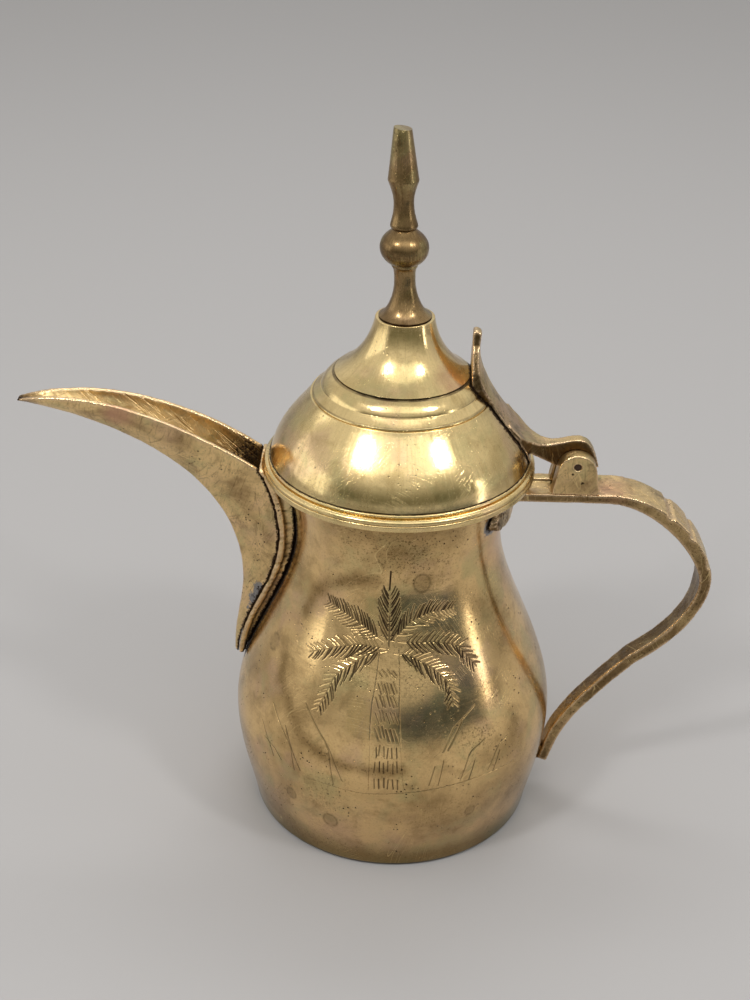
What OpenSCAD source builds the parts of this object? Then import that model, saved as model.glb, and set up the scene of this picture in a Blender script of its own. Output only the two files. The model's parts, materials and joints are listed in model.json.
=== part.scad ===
// Dallah: a spun brass coffee pot with a cast crescent spout, a strap handle and a hinged, domed lid.
// Millimetres. The pot's axis is Z and it stands on z = 0. The handle is towards +X, the spout towards -X.

/* [Body] */
// Radius of the side just above its rounded bottom edge
base_r = 50.2; // [47:0.1:54]
// Radius of the belly at its widest ring
belly_r = 56.4; // [55:0.1:60]
// Height of the belly's widest ring
belly_z = 38; // [34:0.5:44]
// Radius of the neck at its narrowest ring
neck_r = 35.4; // [34:0.1:37]
// Height of the neck's narrowest ring
neck_z = 110; // [104:0.5:114]
// Radius of the flared mouth under its rim
mouth_r = 39.2; // [38.5:0.1:41]
// Height of the flared mouth
mouth_z = 132; // [128:0.1:138]
// Thickness of the spun wall
body_wall = 1.2; // [0.8:0.1:1.6]
// Radius of the rounded bottom edge
foot_round = 2; // [1.7:0.1:3]
// Width of the flat foot turned in under the body
foot_lip = 2.4; // [1.5:0.1:4]
// Thickness of the bottom plate
base_t = 1; // [0.8:0.1:2]
// Height of the brazed seam between the belly and the neck
seam_z = 74; // [68:0.5:78]
// Depth of the neck's tongue behind that seam
lap_h = 4; // [2:0.1:6]

/* [Rims] */
// Outer radius of the rim on the mouth
rim_r = 45.5; // [45:0.1:47]
// Thickness of the rim on the mouth
rim_t = 2.1; // [1.2:0.1:2.6]
// Gap between the two rims when the lid is shut
seat_gap = 0.15; // [0.1:0.05:0.3]
// Thickness of the lid rim's outer edge
lid_edge_t = 0.5; // [0.3:0.1:1]
// Thickness of the lid rim with the bead on top of it
lid_rim_t = 3.05; // [2.7:0.05:3.6]
// Width of the lid rim's rounded edge
lid_slope_w = 1.6; // [1:0.1:1.8]
// Height of the bead turned round the top of the lid rim
bead_h = 1.15; // [0.9:0.05:1.4]
// How far that bead stands out over its groove
bead_out = 0.6; // [0.3:0.05:0.8]
// Outer radius of the locating ring under the lid
skirt_r = 36.8; // [35.6:0.1:36.9]
// Depth of the locating ring below the lid rim
skirt_h = 4.8; // [3:0.1:6]
// Thickness of the locating ring
skirt_t = 1.1; // [0.8:0.1:1.5]

/* [Lid] */
// Radius of the dome's foot
dome_r = 43.2; // [42:0.1:43.3]
// Height of the dome over the lid rim
dome_h = 21.9; // [18:0.1:25]
// Radius of the dome's upper lip
lip_r = 29.8; // [29:0.1:31]
// Thickness of the lid's spun walls
lid_wall = 1; // [0.8:0.1:1.4]
// Width of the ledge between the dome's lip and the band that stands on it
ledge_w = 2.6; // [1.5:0.1:3]
// Height of the sloping band
band_h = 3.4; // [2.5:0.1:4.5]
// Inward lean of the band
band_lean = 2.4; // [1.8:0.1:3]
// Height of the rounded shoulder over the band
shoulder_h = 4.2; // [3:0.1:5]
// Radius of the bell's foot
bell_r = 22.2; // [21:0.1:23]
// Height of the bell
bell_h = 19.4; // [16:0.1:24]
// Radius of the bell's flat top
bell_top_r = 9.6; // [9.2:0.1:11]

/* [Finial] */
// Radius of the finial's flared foot
finial_r = 8.6; // [7:0.1:9]
// Radius of the finial's stem
stem_r = 3.4; // [3:0.1:4]
// Height of the stem from foot to collar
stem_h = 17; // [13:0.1:20]
// Radius of the ball
ball_r = 7.8; // [6.5:0.1:9]
// Half the height of the ball
ball_half_h = 6.4; // [5:0.1:7.5]
// Height of the waist between the ball and the tip
waist_h = 17; // [14:0.1:20]
// Greatest radius of the tip
tip_r = 4.9; // [4.4:0.1:5.5]
// Radius of the tip's cut end
tip_end_r = 2.7; // [2:0.1:3.5]
// Height of the tip over its widest ring
tip_h = 16.3; // [13:0.1:20]
// Slant of the cut across the tip
tip_slant = 7; // [0:1:12]
// Diameter of the stud that holds the finial
stud_d = 4; // [3:0.1:5]
// Height of the nut on that stud
nut_h = 3; // [2:0.1:4]
// Width of the nut across its flats
nut_af = 7; // [6.5:0.1:8]

/* [Spout] */
// Reach of the spout's tip from the pot's axis
spout_reach = 126.9; // [115:0.1:140]
// Height of the spout's tip over the mouth
spout_rise = 21.6; // [17:0.1:26]
// Distance from the neck to the seam of the spout
seam_off = 4.6; // [4:0.1:6]
// Distance from the neck to the heel of the keel
heel_off = 18.1; // [16:0.1:20]
// Height at which the spout's lower point ends
spout_foot_z = 55; // [52:0.5:60]
// Greatest width of the spout
spout_w = 19; // [17:0.1:21]
// Thickness of the spout's walls
spout_wall = 1.8; // [1.2:0.1:2.4]
// Thickness of the strip between the spout and the body
strip_t = 2.2; // [1.5:0.1:2.8]
// How far that strip stands out beside the spout
strip_out = 0.9; // [0.4:0.1:1.5]

/* [Handle] */
// Depth of the strap's flat top below the mouth
strap_drop = 5.4; // [4.5:0.1:7]
// Width of the strap at the hinge
strap_w = 15.4; // [14:0.1:17]
// Width of the strap at its foot
strap_foot_w = 6.8; // [5:0.1:9]
// Thickness of the strap at the hinge
strap_t = 3.4; // [2.8:0.1:4]
// Thickness of the strap round its upper bend
bend_t = 5; // [3.5:0.1:5.8]
// Thickness of the strap down its lower run
run_t = 4.2; // [3:0.1:5]
// Thickness of the strap at its foot
strap_foot_t = 3.4; // [2.2:0.1:4]
// Gap between the strap's foot and the body, filled with solder
foot_gap = 1.8; // [1:0.1:2.4]
// Reach of the grip from the pot's axis to the strap's middle
grip_x = 106.6; // [100:0.1:112]
// Height of the grip's furthest point
grip_z = 92; // [86:0.5:96]
// Height at which the strap's foot ends
strap_foot_z = 12; // [10:0.5:16]
// Depth of the recess filed along the top of the strap
recess_h = 0.9; // [0.5:0.1:1.3]
// Height of the saddle that holds the strap on the neck
saddle_h = 8.6; // [7:0.1:10]
// Thickness of the saddle
saddle_t = 3.6; // [2.5:0.1:4.5]
// Angle from the handle to each end of the saddle
saddle_half = 26; // [20:1:32]

/* [Hinge] */
// Distance from the rim to the hinge pin
pin_off = 13.7; // [13:0.1:15.5]
// Height of the pin over the mouth
pin_rise = 4.8; // [4.5:0.1:5.4]
// Diameter of the pin
pin_d = 2.4; // [2:0.1:2.8]
// Radial clearance of the pin in the lever's knuckle
pin_play = 0.08; // [0.04:0.01:0.1]
// Radial clearance of the pin in the two ears
ear_play = 0.05; // [0.03:0.01:0.1]
// Width of the gap between the two ears
ear_gap = 4.8; // [4.2:0.1:5.6]
// Length of an ear's foot along the strap
ear_foot = 16.2; // [14:0.1:18]
// Radius of an ear's round top
ear_r = 6.6; // [6:0.1:7.2]
// Side play of the lever's knuckle between the ears
knuckle_play = 0.25; // [0.15:0.05:0.4]
// Radius of the knuckle round the pin
knuckle_r = 5.6; // [4.5:0.1:6.5]

/* [Lever] */
// Height of the thumb tab's tip over the rim on the mouth
tab_h = 48.1; // [42:0.1:54]
// Thickness of the thumb tab
tab_t = 2.6; // [2:0.1:3.5]
// Greatest width of the lever's leaf
leaf_w = 18.8; // [15:0.1:21]
// Thickness of the leaf over the dome
leaf_t = 1.1; // [0.9:0.1:1.6]
// Width of the thumb tab's tip
tab_w = 5; // [4:0.1:8]

/* [Hidden] */
$fn = 72;

// Small clearance between pieces that are soldered or screwed together
fit = 0.05;
// Overshoot that lets a cut run clear of a face
over = 1;
// Steps along each curved stretch of an outline
steps = 12;

// Colours
spun_brass = "#b89a56";
turned_brass = "#d9c27a";
cast_brass = "#a98d4e";
steel = "#4a3b2e";

// ---- Curves ----

function lerp(a, b, t) = a + (b - a) * t;
function bezier(p, t) =
    p[0] * pow(1 - t, 3) + p[1] * 3 * t * pow(1 - t, 2) + p[2] * 3 * t * t * (1 - t) + p[3] * pow(t, 3);
// Points along one Bezier stretch, without its first point
function stretch(p, n = steps) = [for (i = [1:n]) bezier(p, i / n)];
function arc(cx, cy, r, a0, a1, n = steps) =
    [for (i = [0:n]) let (a = lerp(a0, a1, i / n)) [cx + r * cos(a), cy + r * sin(a)]];
function reversed(p) = [for (i = [len(p) - 1:-1:0]) p[i]];
function unit(v) = v / norm(v);
// Direction of a run of points at point i
function heading(p, i) = unit(p[min(i + 1, len(p) - 1)] - p[max(i - 1, 0)]);
// The run moved sideways by d, to its left
function beside(p, d) = [for (i = [0:len(p) - 1]) let (h = heading(p, i)) p[i] + d * [-h[1], h[0]]];
// Radius of a rising run at height z
function r_at(p, z) = lookup(z, [for (q = p) [q[1], q[0]]]);
// A rising run cut flat at its bottom or at its top
function from_z(p, z) = concat([[r_at(p, z), z]], [for (q = p) if (q[1] > z + 0.01) q]);
function up_to_z(p, z) = concat([for (q = p) if (q[1] < z - 0.01) q], [[r_at(p, z), z]]);
// The outline from the axis out to a run
function filled(p) = concat([[0, p[0][1]]], p, [[0, p[len(p) - 1][1]]]);

// ---- Body ----

// Outside of the body, from the foot's flat up to the mouth, as [radius, height]
body_run = concat(
    [[base_r - foot_round - foot_lip, 0]],
    arc(base_r - foot_round, foot_round, foot_round, -90, 0, 6),
    stretch([[base_r, foot_round], [base_r + 2, 0.36 * belly_z], [belly_r, 0.63 * belly_z], [belly_r, belly_z]]),
    stretch([[belly_r, belly_z], [belly_r, lerp(belly_z, neck_z, 0.333)],
        [neck_r, lerp(belly_z, neck_z, 0.722)], [neck_r, neck_z]], 20),
    stretch([[neck_r, neck_z], [neck_r, lerp(neck_z, mouth_z, 0.37)],
        [lerp(neck_r, mouth_r, 0.48), lerp(neck_z, mouth_z, 0.74)], [mouth_r, mouth_z]])
);
foot_in_r = base_r - foot_round - foot_lip;
function body_r_at(z) = r_at([for (p = body_run) if (p[1] > foot_round) p], z);

module body_solid() {
    rotate_extrude() polygon(filled(body_run));
}

module body_belly() {
    color(spun_brass)
    rotate_extrude() polygon(concat(
        up_to_z(body_run, seam_z), reversed(up_to_z(beside(body_run, body_wall), seam_z))
    ));
}

// The neck's lower edge is stepped in to a tongue that laps behind the belly's upper edge
lap_t = 0.9;
side_run = [for (p = body_run) if (p[1] > belly_z) p];
function side_band(d, z0, z1) = up_to_z(from_z(beside(side_run, d), z0), z1);
module body_neck() {
    color(spun_brass)
    difference() {
        rotate_extrude() polygon(concat(
            side_band(body_wall + fit, seam_z - lap_h, seam_z), side_band(0, seam_z, mouth_z),
            reversed(side_band(body_wall, seam_z + lap_t, mouth_z)),
            reversed(side_band(body_wall + lap_t, seam_z - lap_h, seam_z))
        ));
        port_cut();
    }
}

// The bottom plate drops in from above and seats on the foot's flat
plate_lap = 1.6;
module base_disc() {
    color(spun_brass)
    rotate_extrude() polygon([
        [0, 0], [foot_in_r - fit, 0], [foot_in_r - fit, body_wall], [foot_in_r + plate_lap, body_wall],
        [foot_in_r + plate_lap, body_wall + base_t], [0, body_wall + base_t]
    ]);
}

// ---- Rims and locating ring ----

rim_top = mouth_z + rim_t;
lid_z = rim_top + seat_gap;
lid_top = lid_z + lid_rim_t;
mouth_in_r = mouth_r - body_wall;
edge_round = 0.4;

module mouth_rim() {
    color(turned_brass)
    rotate_extrude() polygon(concat(
        [[mouth_in_r, mouth_z], [rim_r - edge_round, mouth_z]],
        arc(rim_r - edge_round, mouth_z + edge_round, edge_round, -90, 0, 4),
        [[rim_r, rim_top], [mouth_in_r, rim_top]]
    ));
}

lid_rim_r = rim_r - 0.1;
slope_in_r = lid_rim_r - lid_slope_w;
bead_z = lid_top - bead_h;
bead_in_r = slope_in_r - 0.4;
lid_rim_top_run = concat(
    [[lid_rim_r, lid_z + lid_edge_t]],
    stretch([[lid_rim_r, lid_z + lid_edge_t], [lid_rim_r, lerp(lid_z + lid_edge_t, bead_z, 0.6)],
        [lerp(slope_in_r, lid_rim_r, 0.5), bead_z - 0.15], [slope_in_r, bead_z - 0.15]], 5),
    [for (i = [0:8]) [bead_in_r + bead_out * sin(22.5 * i), bead_z + bead_h / 2 * (1 - cos(22.5 * i))]]
);

module lid_rim() {
    color(turned_brass)
    rotate_extrude() polygon(concat(
        [[skirt_r + fit, lid_z], [lid_rim_r, lid_z]], lid_rim_top_run, [[skirt_r + fit, lid_top]]
    ));
}

module lid_skirt() {
    color(spun_brass)
    rotate_extrude()
    translate([skirt_r - skirt_t, lid_z - skirt_h])
    square([skirt_t, skirt_h + lid_rim_t + 1]);
}

// ---- Lid shells ----

lip_z = lid_top + dome_h;
dome_run = concat([[dome_r, lid_top]], stretch([
    [dome_r, lid_top], [lerp(dome_r, lip_r, 0.16), lerp(lid_top, lip_z, 0.47)],
    [lerp(dome_r, lip_r, 0.65), lerp(lid_top, lip_z, 0.67)], [lip_r, lip_z]
], 16));
ledge_r = lip_r - ledge_w;
shelf_w = 3;

module lid_dome() {
    color(spun_brass)
    rotate_extrude() polygon(concat(
        dome_run, [[ledge_r - shelf_w, lip_z], [ledge_r - shelf_w, lip_z - lid_wall]],
        reversed(from_z([for (p = beside(dome_run, lid_wall)) if (p[1] < lip_z - lid_wall) p], lid_top))
    ));
}

band_top_r = ledge_r - band_lean;
shoulder_z = lip_z + band_h;
bell_z = shoulder_z + shoulder_h;
shoulder_run = concat([[ledge_r, lip_z], [band_top_r, shoulder_z]], stretch([
    [band_top_r, shoulder_z], [band_top_r - 0.5, lerp(shoulder_z, bell_z, 0.4)],
    [lerp(band_top_r, bell_r, 0.6), lerp(shoulder_z, bell_z, 0.85)], [bell_r + 0.2, bell_z]
], 8));

module lid_shoulder() {
    color(spun_brass)
    rotate_extrude() polygon(concat(
        shoulder_run, [[bell_r - shelf_w, bell_z], [bell_r - shelf_w, bell_z - lid_wall]],
        reversed(from_z([for (p = beside(shoulder_run, lid_wall)) if (p[1] < bell_z - lid_wall) p], lip_z))
    ));
}

bell_top = bell_z + bell_h;
bell_curve = concat([[bell_r, bell_z + 0.5]], stretch([
    [bell_r, bell_z + 0.5], [lerp(bell_r, bell_top_r, 0.4), bell_z + 0.18 * bell_h],
    [lerp(bell_r, bell_top_r, 0.86), bell_z + 0.47 * bell_h], [bell_top_r, bell_top]
], 16));
stud_hole_r = stud_d / 2 + fit;

module lid_bell() {
    color(spun_brass)
    rotate_extrude() polygon(concat(
        [[bell_r - 0.4, bell_z]], bell_curve, [[stud_hole_r, bell_top], [stud_hole_r, bell_top - lid_wall]],
        reversed(up_to_z(
            [for (p = beside(bell_curve, lid_wall)) if (p[1] > bell_z + 0.4) p], bell_top - lid_wall
        )),
        [[bell_r - lid_wall - 0.9, bell_z]]
    ));
}

// Outside of the closed lid, used to fit the lever to it
lid_envelope_run = concat(
    lid_rim_top_run, dome_run, shoulder_run, [[bell_r, bell_z], [0, bell_z]]
);
module lid_envelope() {
    rotate_extrude() polygon(concat([[0, lid_z], [lid_rim_r, lid_z]], lid_envelope_run));
}

// ---- Finial ----

finial_z = bell_top + fit;
collar_z = finial_z + stem_h;
collar_r = stem_r + 0.8;
collar_h = 1.1;
ball_start = asin(min(0.95, collar_r / ball_r + 0.1));
ball_z = collar_z + collar_h + ball_half_h * cos(ball_start);
waist_z = ball_z + ball_half_h * cos(ball_start);
tip_z = waist_z + waist_h;
finial_top = tip_z + tip_h;
groove_r = collar_r - 0.4;
finial_run = concat(
    [[finial_r, finial_z], [finial_r, finial_z + 0.4]],
    stretch([[finial_r, finial_z + 0.4], [lerp(stem_r, finial_r, 0.4), finial_z + 2.6],
        [stem_r, finial_z + 0.35 * stem_h], [stem_r, finial_z + 0.6 * stem_h]], 10),
    stretch([[stem_r, finial_z + 0.6 * stem_h], [stem_r, finial_z + 0.82 * stem_h],
        [stem_r + 0.2, collar_z - 0.8], [collar_r - 0.2, collar_z]], 6),
    [[collar_r, collar_z + 0.3], [collar_r, collar_z + collar_h - 0.3]],
    [for (i = [0:14]) let (a = lerp(180 - ball_start, ball_start, i / 14))
        [ball_r * sin(a), ball_z + ball_half_h * cos(a)]],
    [[groove_r, waist_z + 1.2], [collar_r + 0.2, waist_z + 2.1], [collar_r + 0.1, waist_z + 2.9]],
    stretch([[collar_r + 0.1, waist_z + 2.9], [stem_r + 0.2, waist_z + 0.32 * waist_h],
        [stem_r - 0.2, lerp(waist_z, tip_z, 0.4)], [stem_r - 0.2, lerp(waist_z, tip_z, 0.58)]], 8),
    stretch([[stem_r - 0.2, lerp(waist_z, tip_z, 0.58)], [stem_r - 0.1, lerp(waist_z, tip_z, 0.74)],
        [tip_r - 0.8, tip_z - 2.4], [tip_r - 0.1, tip_z - 0.5]], 8),
    [[tip_r, tip_z], [tip_r - 0.1, tip_z + 0.5], [tip_end_r, finial_top + over]]
);
stud_up = 8;
stud_down = 9;

module finial() {
    color(turned_brass)
    difference() {
        rotate_extrude() polygon(filled(finial_run));
        translate([0, 0, finial_z - over]) cylinder(r = stud_hole_r, h = stud_up + over + 0.3);
        translate([0, 0, finial_top]) rotate([0, tip_slant, 0])
        translate([-3 * tip_r, -3 * tip_r, 0]) cube([6 * tip_r, 6 * tip_r, 4 * over]);
    }
}

module finial_stud() {
    color(turned_brass)
    translate([0, 0, finial_z - stud_down]) cylinder(d = stud_d, h = stud_down + stud_up);
}

module finial_nut() {
    color(turned_brass)
    translate([0, 0, bell_top - lid_wall - fit - nut_h])
    difference() {
        cylinder(d = nut_af / cos(30), h = nut_h, $fn = 6);
        translate([0, 0, -over]) cylinder(r = stud_hole_r, h = nut_h + 2 * over);
    }
}

// ---- Spout ----

seam_x = -(neck_r + seam_off);
heel_x = -(neck_r + heel_off);
root_x = -(neck_r + 11.4);
root_z = mouth_z + 1.9;
tip_x = -spout_reach;
tip_sz = mouth_z + spout_rise;
waist_sz = neck_z - 2;
heel_z = neck_z - 22;
foot_x = -(body_r_at(spout_foot_z) + 2.2);

// Three stretches of the wall's free edge, from the foot up the seam to the root and out to the tip
edge_lower = [[foot_x, spout_foot_z], [foot_x + 1.6, lerp(spout_foot_z, waist_sz, 0.42)],
    [seam_x, lerp(spout_foot_z, waist_sz, 0.66)], [seam_x, waist_sz]];
edge_upper = [[seam_x, waist_sz], [seam_x, lerp(waist_sz, root_z, 0.35)],
    [lerp(seam_x, root_x, 0.35), lerp(waist_sz, root_z, 0.75)], [root_x, root_z]];
edge_free = [[root_x, root_z], [lerp(root_x, tip_x, 0.28), lerp(root_z, tip_sz, 0.765)],
    [lerp(root_x, tip_x, 0.66), lerp(root_z, tip_sz, 1.37)], [tip_x, tip_sz]];
// Two stretches of the keel
keel_lower = [[foot_x - 1.4, spout_foot_z + 0.8], [foot_x - 1.4, spout_foot_z + 14],
    [heel_x, heel_z - 10], [heel_x, heel_z]];
keel_free = [[heel_x, heel_z], [heel_x, heel_z + 38.5],
    [lerp(heel_x, tip_x, 0.5), tip_sz - 7.2], [tip_x, tip_sz - 1]];

// Station s runs 0 to 1 up the lower seam, to 2 at the root and to 3 at the tip
function edge_at(s) =
    s < 1 ? bezier(edge_lower, s) : s < 2 ? bezier(edge_upper, s - 1) : bezier(edge_free, s - 2);
keel_pace = [[0, 0], [0.5, 0.75], [1, 1.1], [2, 1.35], [2.25, 1.5], [3, 2]];
function keel_at(s) =
    let (u = lookup(s, keel_pace)) u < 1 ? bezier(keel_lower, u) : bezier(keel_free, u - 1);
half_share = [[0, 0.12], [0.12, 0.3], [0.25, 0.5], [0.5, 0.78], [0.75, 0.93], [1, 0.98], [2, 1],
    [2.25, 0.98], [2.5, 0.8], [2.75, 0.55], [2.9, 0.38], [3, 0.2]];
function half_at(s) = spout_w / 2 * lookup(s, half_share);

// One cross-section of the open channel, from the near edge round the keel to the far edge and back inside
function spout_ring(s) =
    let (
        e = edge_at(s), k = keel_at(s), depth = norm(k - e), h = half_at(s),
        wall = min(spout_wall, 0.45 * h), floor_f = max(0.3, 1 - spout_wall / depth),
        keel_h = 0.16 * h, in_h = max(0.05 * h, keel_h - 0.5 * wall),
        outer = [[-h, 0], [-0.93 * h, 0.22], [-0.72 * h, 0.52], [-0.42 * h, 0.8], [-keel_h, 1]],
        inner = [[-(h - wall), 0], [-(0.93 * h - wall), 0.22 * floor_f], [-(0.72 * h - wall), 0.52 * floor_f],
            [-max(0.42 * h - wall, 1.4 * in_h), 0.8 * floor_f], [-in_h, floor_f]],
        section = concat(outer, [for (p = reversed(outer)) [-p[0], p[1]]], inner_side(inner))
    )
    [for (q = section) let (c = lerp(e, k, q[1])) [c[0], q[0], c[1]]];
function inner_side(inner) = concat([for (p = inner) [-p[0], p[1]]], reversed(inner));

ring_n = 20;
spout_rings = 36;
module spout() {
    stations = [for (i = [0:spout_rings]) 3 * i / spout_rings];
    points = [for (s = stations) each spout_ring(s)];
    sides = [
        for (i = [0:spout_rings - 1]) for (j = [0:ring_n - 1])
            let (a = i * ring_n + j, b = i * ring_n + (j + 1) % ring_n)
            each [[a, b, b + ring_n], [a, b + ring_n, a + ring_n]]
    ];
    last = spout_rings * ring_n;
    ends = [
        for (j = [0:ring_n / 2 - 2]) let (m = ring_n - 1 - j)
            each [
                [j, m - 1, j + 1], [j, m, m - 1],
                [last + j, last + j + 1, last + m - 1], [last + j, last + m - 1, last + m]
            ]
    ];
    color(cast_brass) polyhedron(points, concat(sides, ends));
}

// Seam outline seen along X, with its half width changed by d
function seam_outline(d, s0, s1) =
    let (side = [for (i = [0:24]) let (s = lerp(s0, s1, i / 24)) [max(0.3, half_at(s) + d), edge_at(s)[1]]])
    concat(side, [for (p = reversed(side)) [-p[0], p[1]]]);

module along_x(x0, x1) {
    translate([x0, 0, 0]) rotate([90, 0, 90]) linear_extrude(x1 - x0) children();
}
module along_y(width) {
    translate([0, width / 2, 0]) rotate([90, 0, 0]) linear_extrude(width) children();
}

port_inset = 3.3;
module port_cut() {
    along_x(-2 * belly_r, -neck_r / 2) polygon(seam_outline(-port_inset, 0.86, 1.75));
}

seam_side = [for (i = [0:24]) edge_at(2 * i / 24)];
module spout_flange() {
    color(cast_brass)
    difference() {
        union() {
            intersection() {
                along_y(2 * spout_w) polygon(concat(seam_side, reversed([for (p = seam_side) p + [strip_t, 0]])));
                along_x(-2 * belly_r, 0) polygon(seam_outline(strip_out, 0, 2));
            }
            intersection() {
                along_y(2 * spout_w) polygon(concat(seam_side, [[-neck_r / 2, root_z], [-neck_r / 2, spout_foot_z]]));
                along_x(-2 * belly_r, 0) polygon(seam_outline(-0.8, 0, 2));
            }
        }
        body_solid();
        translate([0, 0, mouth_z - 0.01]) cylinder(r = rim_r + fit, h = 4 * over);
        port_cut();
    }
}

// ---- Handle ----

strap_top = mouth_z - strap_drop;
strap_mid = strap_top - strap_t / 2;
saddle_r = neck_r + saddle_t;
pin_x = rim_r + pin_off;
pin_z = mouth_z + pin_rise;
flat_end_x = pin_x + ear_foot / 2 + 2.6;
strap_foot_x = body_r_at(strap_foot_z) + foot_gap + strap_foot_t / 2;
knee = [lerp(strap_foot_x, grip_x, 0.567), lerp(strap_foot_z, grip_z, 0.575)];
knee_way = unit([0.94, 1]);

// Middle line of the strap, from the saddle over the bend and down to its foot
strap_run = concat(
    [[neck_r, strap_mid], [flat_end_x, strap_mid]],
    stretch([[flat_end_x, strap_mid], [lerp(flat_end_x, grip_x, 0.49), strap_mid + 0.7],
        [grip_x, lerp(grip_z, strap_mid, 0.395)], [grip_x, grip_z]], 14),
    stretch([[grip_x, grip_z], [grip_x, lerp(knee[1], grip_z, 0.42)], knee + 2 * knee_way, knee], 12),
    stretch([knee, knee - 0.77 * norm(knee - [strap_foot_x, strap_foot_z]) * knee_way,
        [strap_foot_x + 3.4, lerp(strap_foot_z, knee[1], 0.2)], [strap_foot_x, strap_foot_z]], 12)
);
strap_last = len(strap_run) - 1;
strap_half_t = [[0, strap_t / 2], [1, strap_t / 2], [7, bend_t / 2], [11, bend_t / 2], [15, 0.41 * bend_t],
    [20, run_t / 2], [34, run_t / 2], [strap_last, strap_foot_t / 2]];
function strap_side(sign) = [
    for (i = [0:strap_last]) let (h = i < 2 ? [1, 0] : heading(strap_run, i))
        strap_run[i] + sign * lookup(i, strap_half_t) * [-h[1], h[0]]
];
strap_half_w = [[strap_foot_z - 5, strap_foot_w / 2], [lerp(strap_foot_z, grip_z, 0.55), strap_foot_w / 2 + 0.3],
    [grip_z - 13, lerp(strap_foot_w, strap_w, 0.17) / 2], [grip_z - 2, lerp(strap_foot_w, strap_w, 0.64) / 2],
    [grip_z + 7, lerp(strap_foot_w, strap_w, 0.94) / 2], [grip_z + 15, strap_w / 2], [strap_top + 5, strap_w / 2]];
strap_front = concat(
    [for (p = strap_half_w) [p[1], p[0]]], [for (p = reversed(strap_half_w)) [-p[1], p[0]]]
);
recess_x = saddle_r + 2;

// Lump of solder between the strap's foot and the body
module foot_solder() {
    low = strap_foot_z - 0.2;
    high = strap_foot_z + 5.5;
    along_y(0.75 * strap_foot_w) polygon([[body_r_at(low) - over, low], [strap_foot_x, low + 0.3],
        [strap_foot_x + 1.1, high], [body_r_at(high) - over, high]]);
}

module handle() {
    color(cast_brass)
    difference() {
        union() {
            intersection() {
                along_y(2 * strap_w) polygon(concat(strap_side(1), reversed(strap_side(-1))));
                along_x(0, 2 * grip_x) polygon(strap_front);
            }
            foot_solder();
        }
        body_solid();
        translate([0, 0, strap_top - 20]) cylinder(r = saddle_r + fit, h = 20 + over);
        translate([recess_x, -ear_gap / 2 - 0.9, strap_top - recess_h])
        cube([flat_end_x - 3 - recess_x, ear_gap + 1.8, recess_h + over]);
    }
}

// Curved bar soldered round the back of the neck, with round ends
module neck_saddle() {
    end_y = saddle_r * sin(saddle_half);
    color(cast_brass)
    difference() {
        intersection() {
            translate([0, 0, strap_top - 2 * saddle_h]) cylinder(r = saddle_r, h = 3 * saddle_h);
            translate([0, 0, strap_top - saddle_h / 2]) along_x(neck_r / 2, saddle_r + over) union() {
                translate([-end_y, -saddle_h / 2]) square([2 * end_y, saddle_h]);
                for (y = [-end_y, end_y]) translate([y, 0]) circle(d = saddle_h);
            }
        }
        body_solid();
    }
}

// ---- Hinge ----

ear_t = (strap_w - ear_gap) / 2;
ear_mid_z = pin_z - 2.4;
module ear_outline() {
    lean = 0.98 * ear_r;
    difference() {
        union() {
            translate([pin_x, ear_mid_z]) circle(r = ear_r);
            polygon([[pin_x - ear_foot / 2, strap_top], [pin_x + ear_foot / 2, strap_top],
                [pin_x + lean, ear_mid_z + 1.2], [pin_x - lean, ear_mid_z + 1.2]]);
        }
        translate([pin_x, pin_z]) circle(r = pin_d / 2 + ear_play);
        translate([pin_x - ear_foot, strap_top - 20]) square([2 * ear_foot, 20]);
    }
}

module hinge_ear(y_mid) {
    color(cast_brass) translate([0, y_mid, 0]) along_y(ear_t) ear_outline();
}
module hinge_ear_front() hinge_ear(-(ear_gap + ear_t) / 2);
module hinge_ear_back() hinge_ear((ear_gap + ear_t) / 2);

pin_short = 0.4;
module hinge_pin() {
    color(steel)
    translate([pin_x, strap_w / 2 - pin_short, pin_z]) rotate([90, 0, 0])
    cylinder(d = pin_d, h = strap_w - 2 * pin_short);
}

// ---- Lid lever ----

tab_top = rim_top + seat_gap + tab_h;
tab_x = bell_r + 0.5;
leaf_half = leaf_w / 2;
// Outer line of the leaf as [radius, height], from the thumb tab's tip down over the dome to the lid rim
leaf_outer = concat(
    [[tab_x + tab_t + 0.3, tab_top - 0.9]],
    stretch([[tab_x + tab_t + 0.3, tab_top - 0.9], [tab_x + tab_t - 0.8, lerp(bell_z, tab_top, 0.5)],
        [tab_x + tab_t + 0.4, lerp(bell_z, tab_top, 0.24)], [ledge_r + 1.55, shoulder_z + 1.5]], 10),
    stretch([[ledge_r + 1.55, shoulder_z + 1.5], [lip_r + 0.9, lip_z + 0.3],
        [lerp(dome_r, lip_r, 0.55) + 0.5 * leaf_t, lerp(lid_top, lip_z, 0.63)],
        [lerp(dome_r, lip_r, 0.3) + leaf_t, lerp(lid_top, lip_z, 0.45)]], 10),
    [[dome_r - 1.4 + leaf_t, lid_top + 3.8], [dome_r - 0.3 + leaf_t, lid_top + fit]]
);
leaf_front = [
    [0.3 * tab_w, tab_top + over], [0.5 * tab_w, tab_top - 1.2], [0.62 * tab_w, tab_top - 4.5],
    [0.44 * leaf_half + 0.1 * tab_w, lerp(bell_z, tab_top, 0.6)], [0.84 * leaf_half, bell_z + 3],
    [0.95 * leaf_half, shoulder_z + 1.8], [0.86 * leaf_half, lip_z], [0.98 * leaf_half, lerp(lid_top, lip_z, 0.62)],
    [leaf_half, lerp(lid_top, lip_z, 0.5)], [0.9 * leaf_half, lerp(lid_top, lip_z, 0.36)], [0.6 * leaf_half, lid_top]
];
knuckle_w = ear_gap - 2 * knuckle_play;
arm_root_x = lerp(dome_r, lip_r, 0.4);
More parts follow.
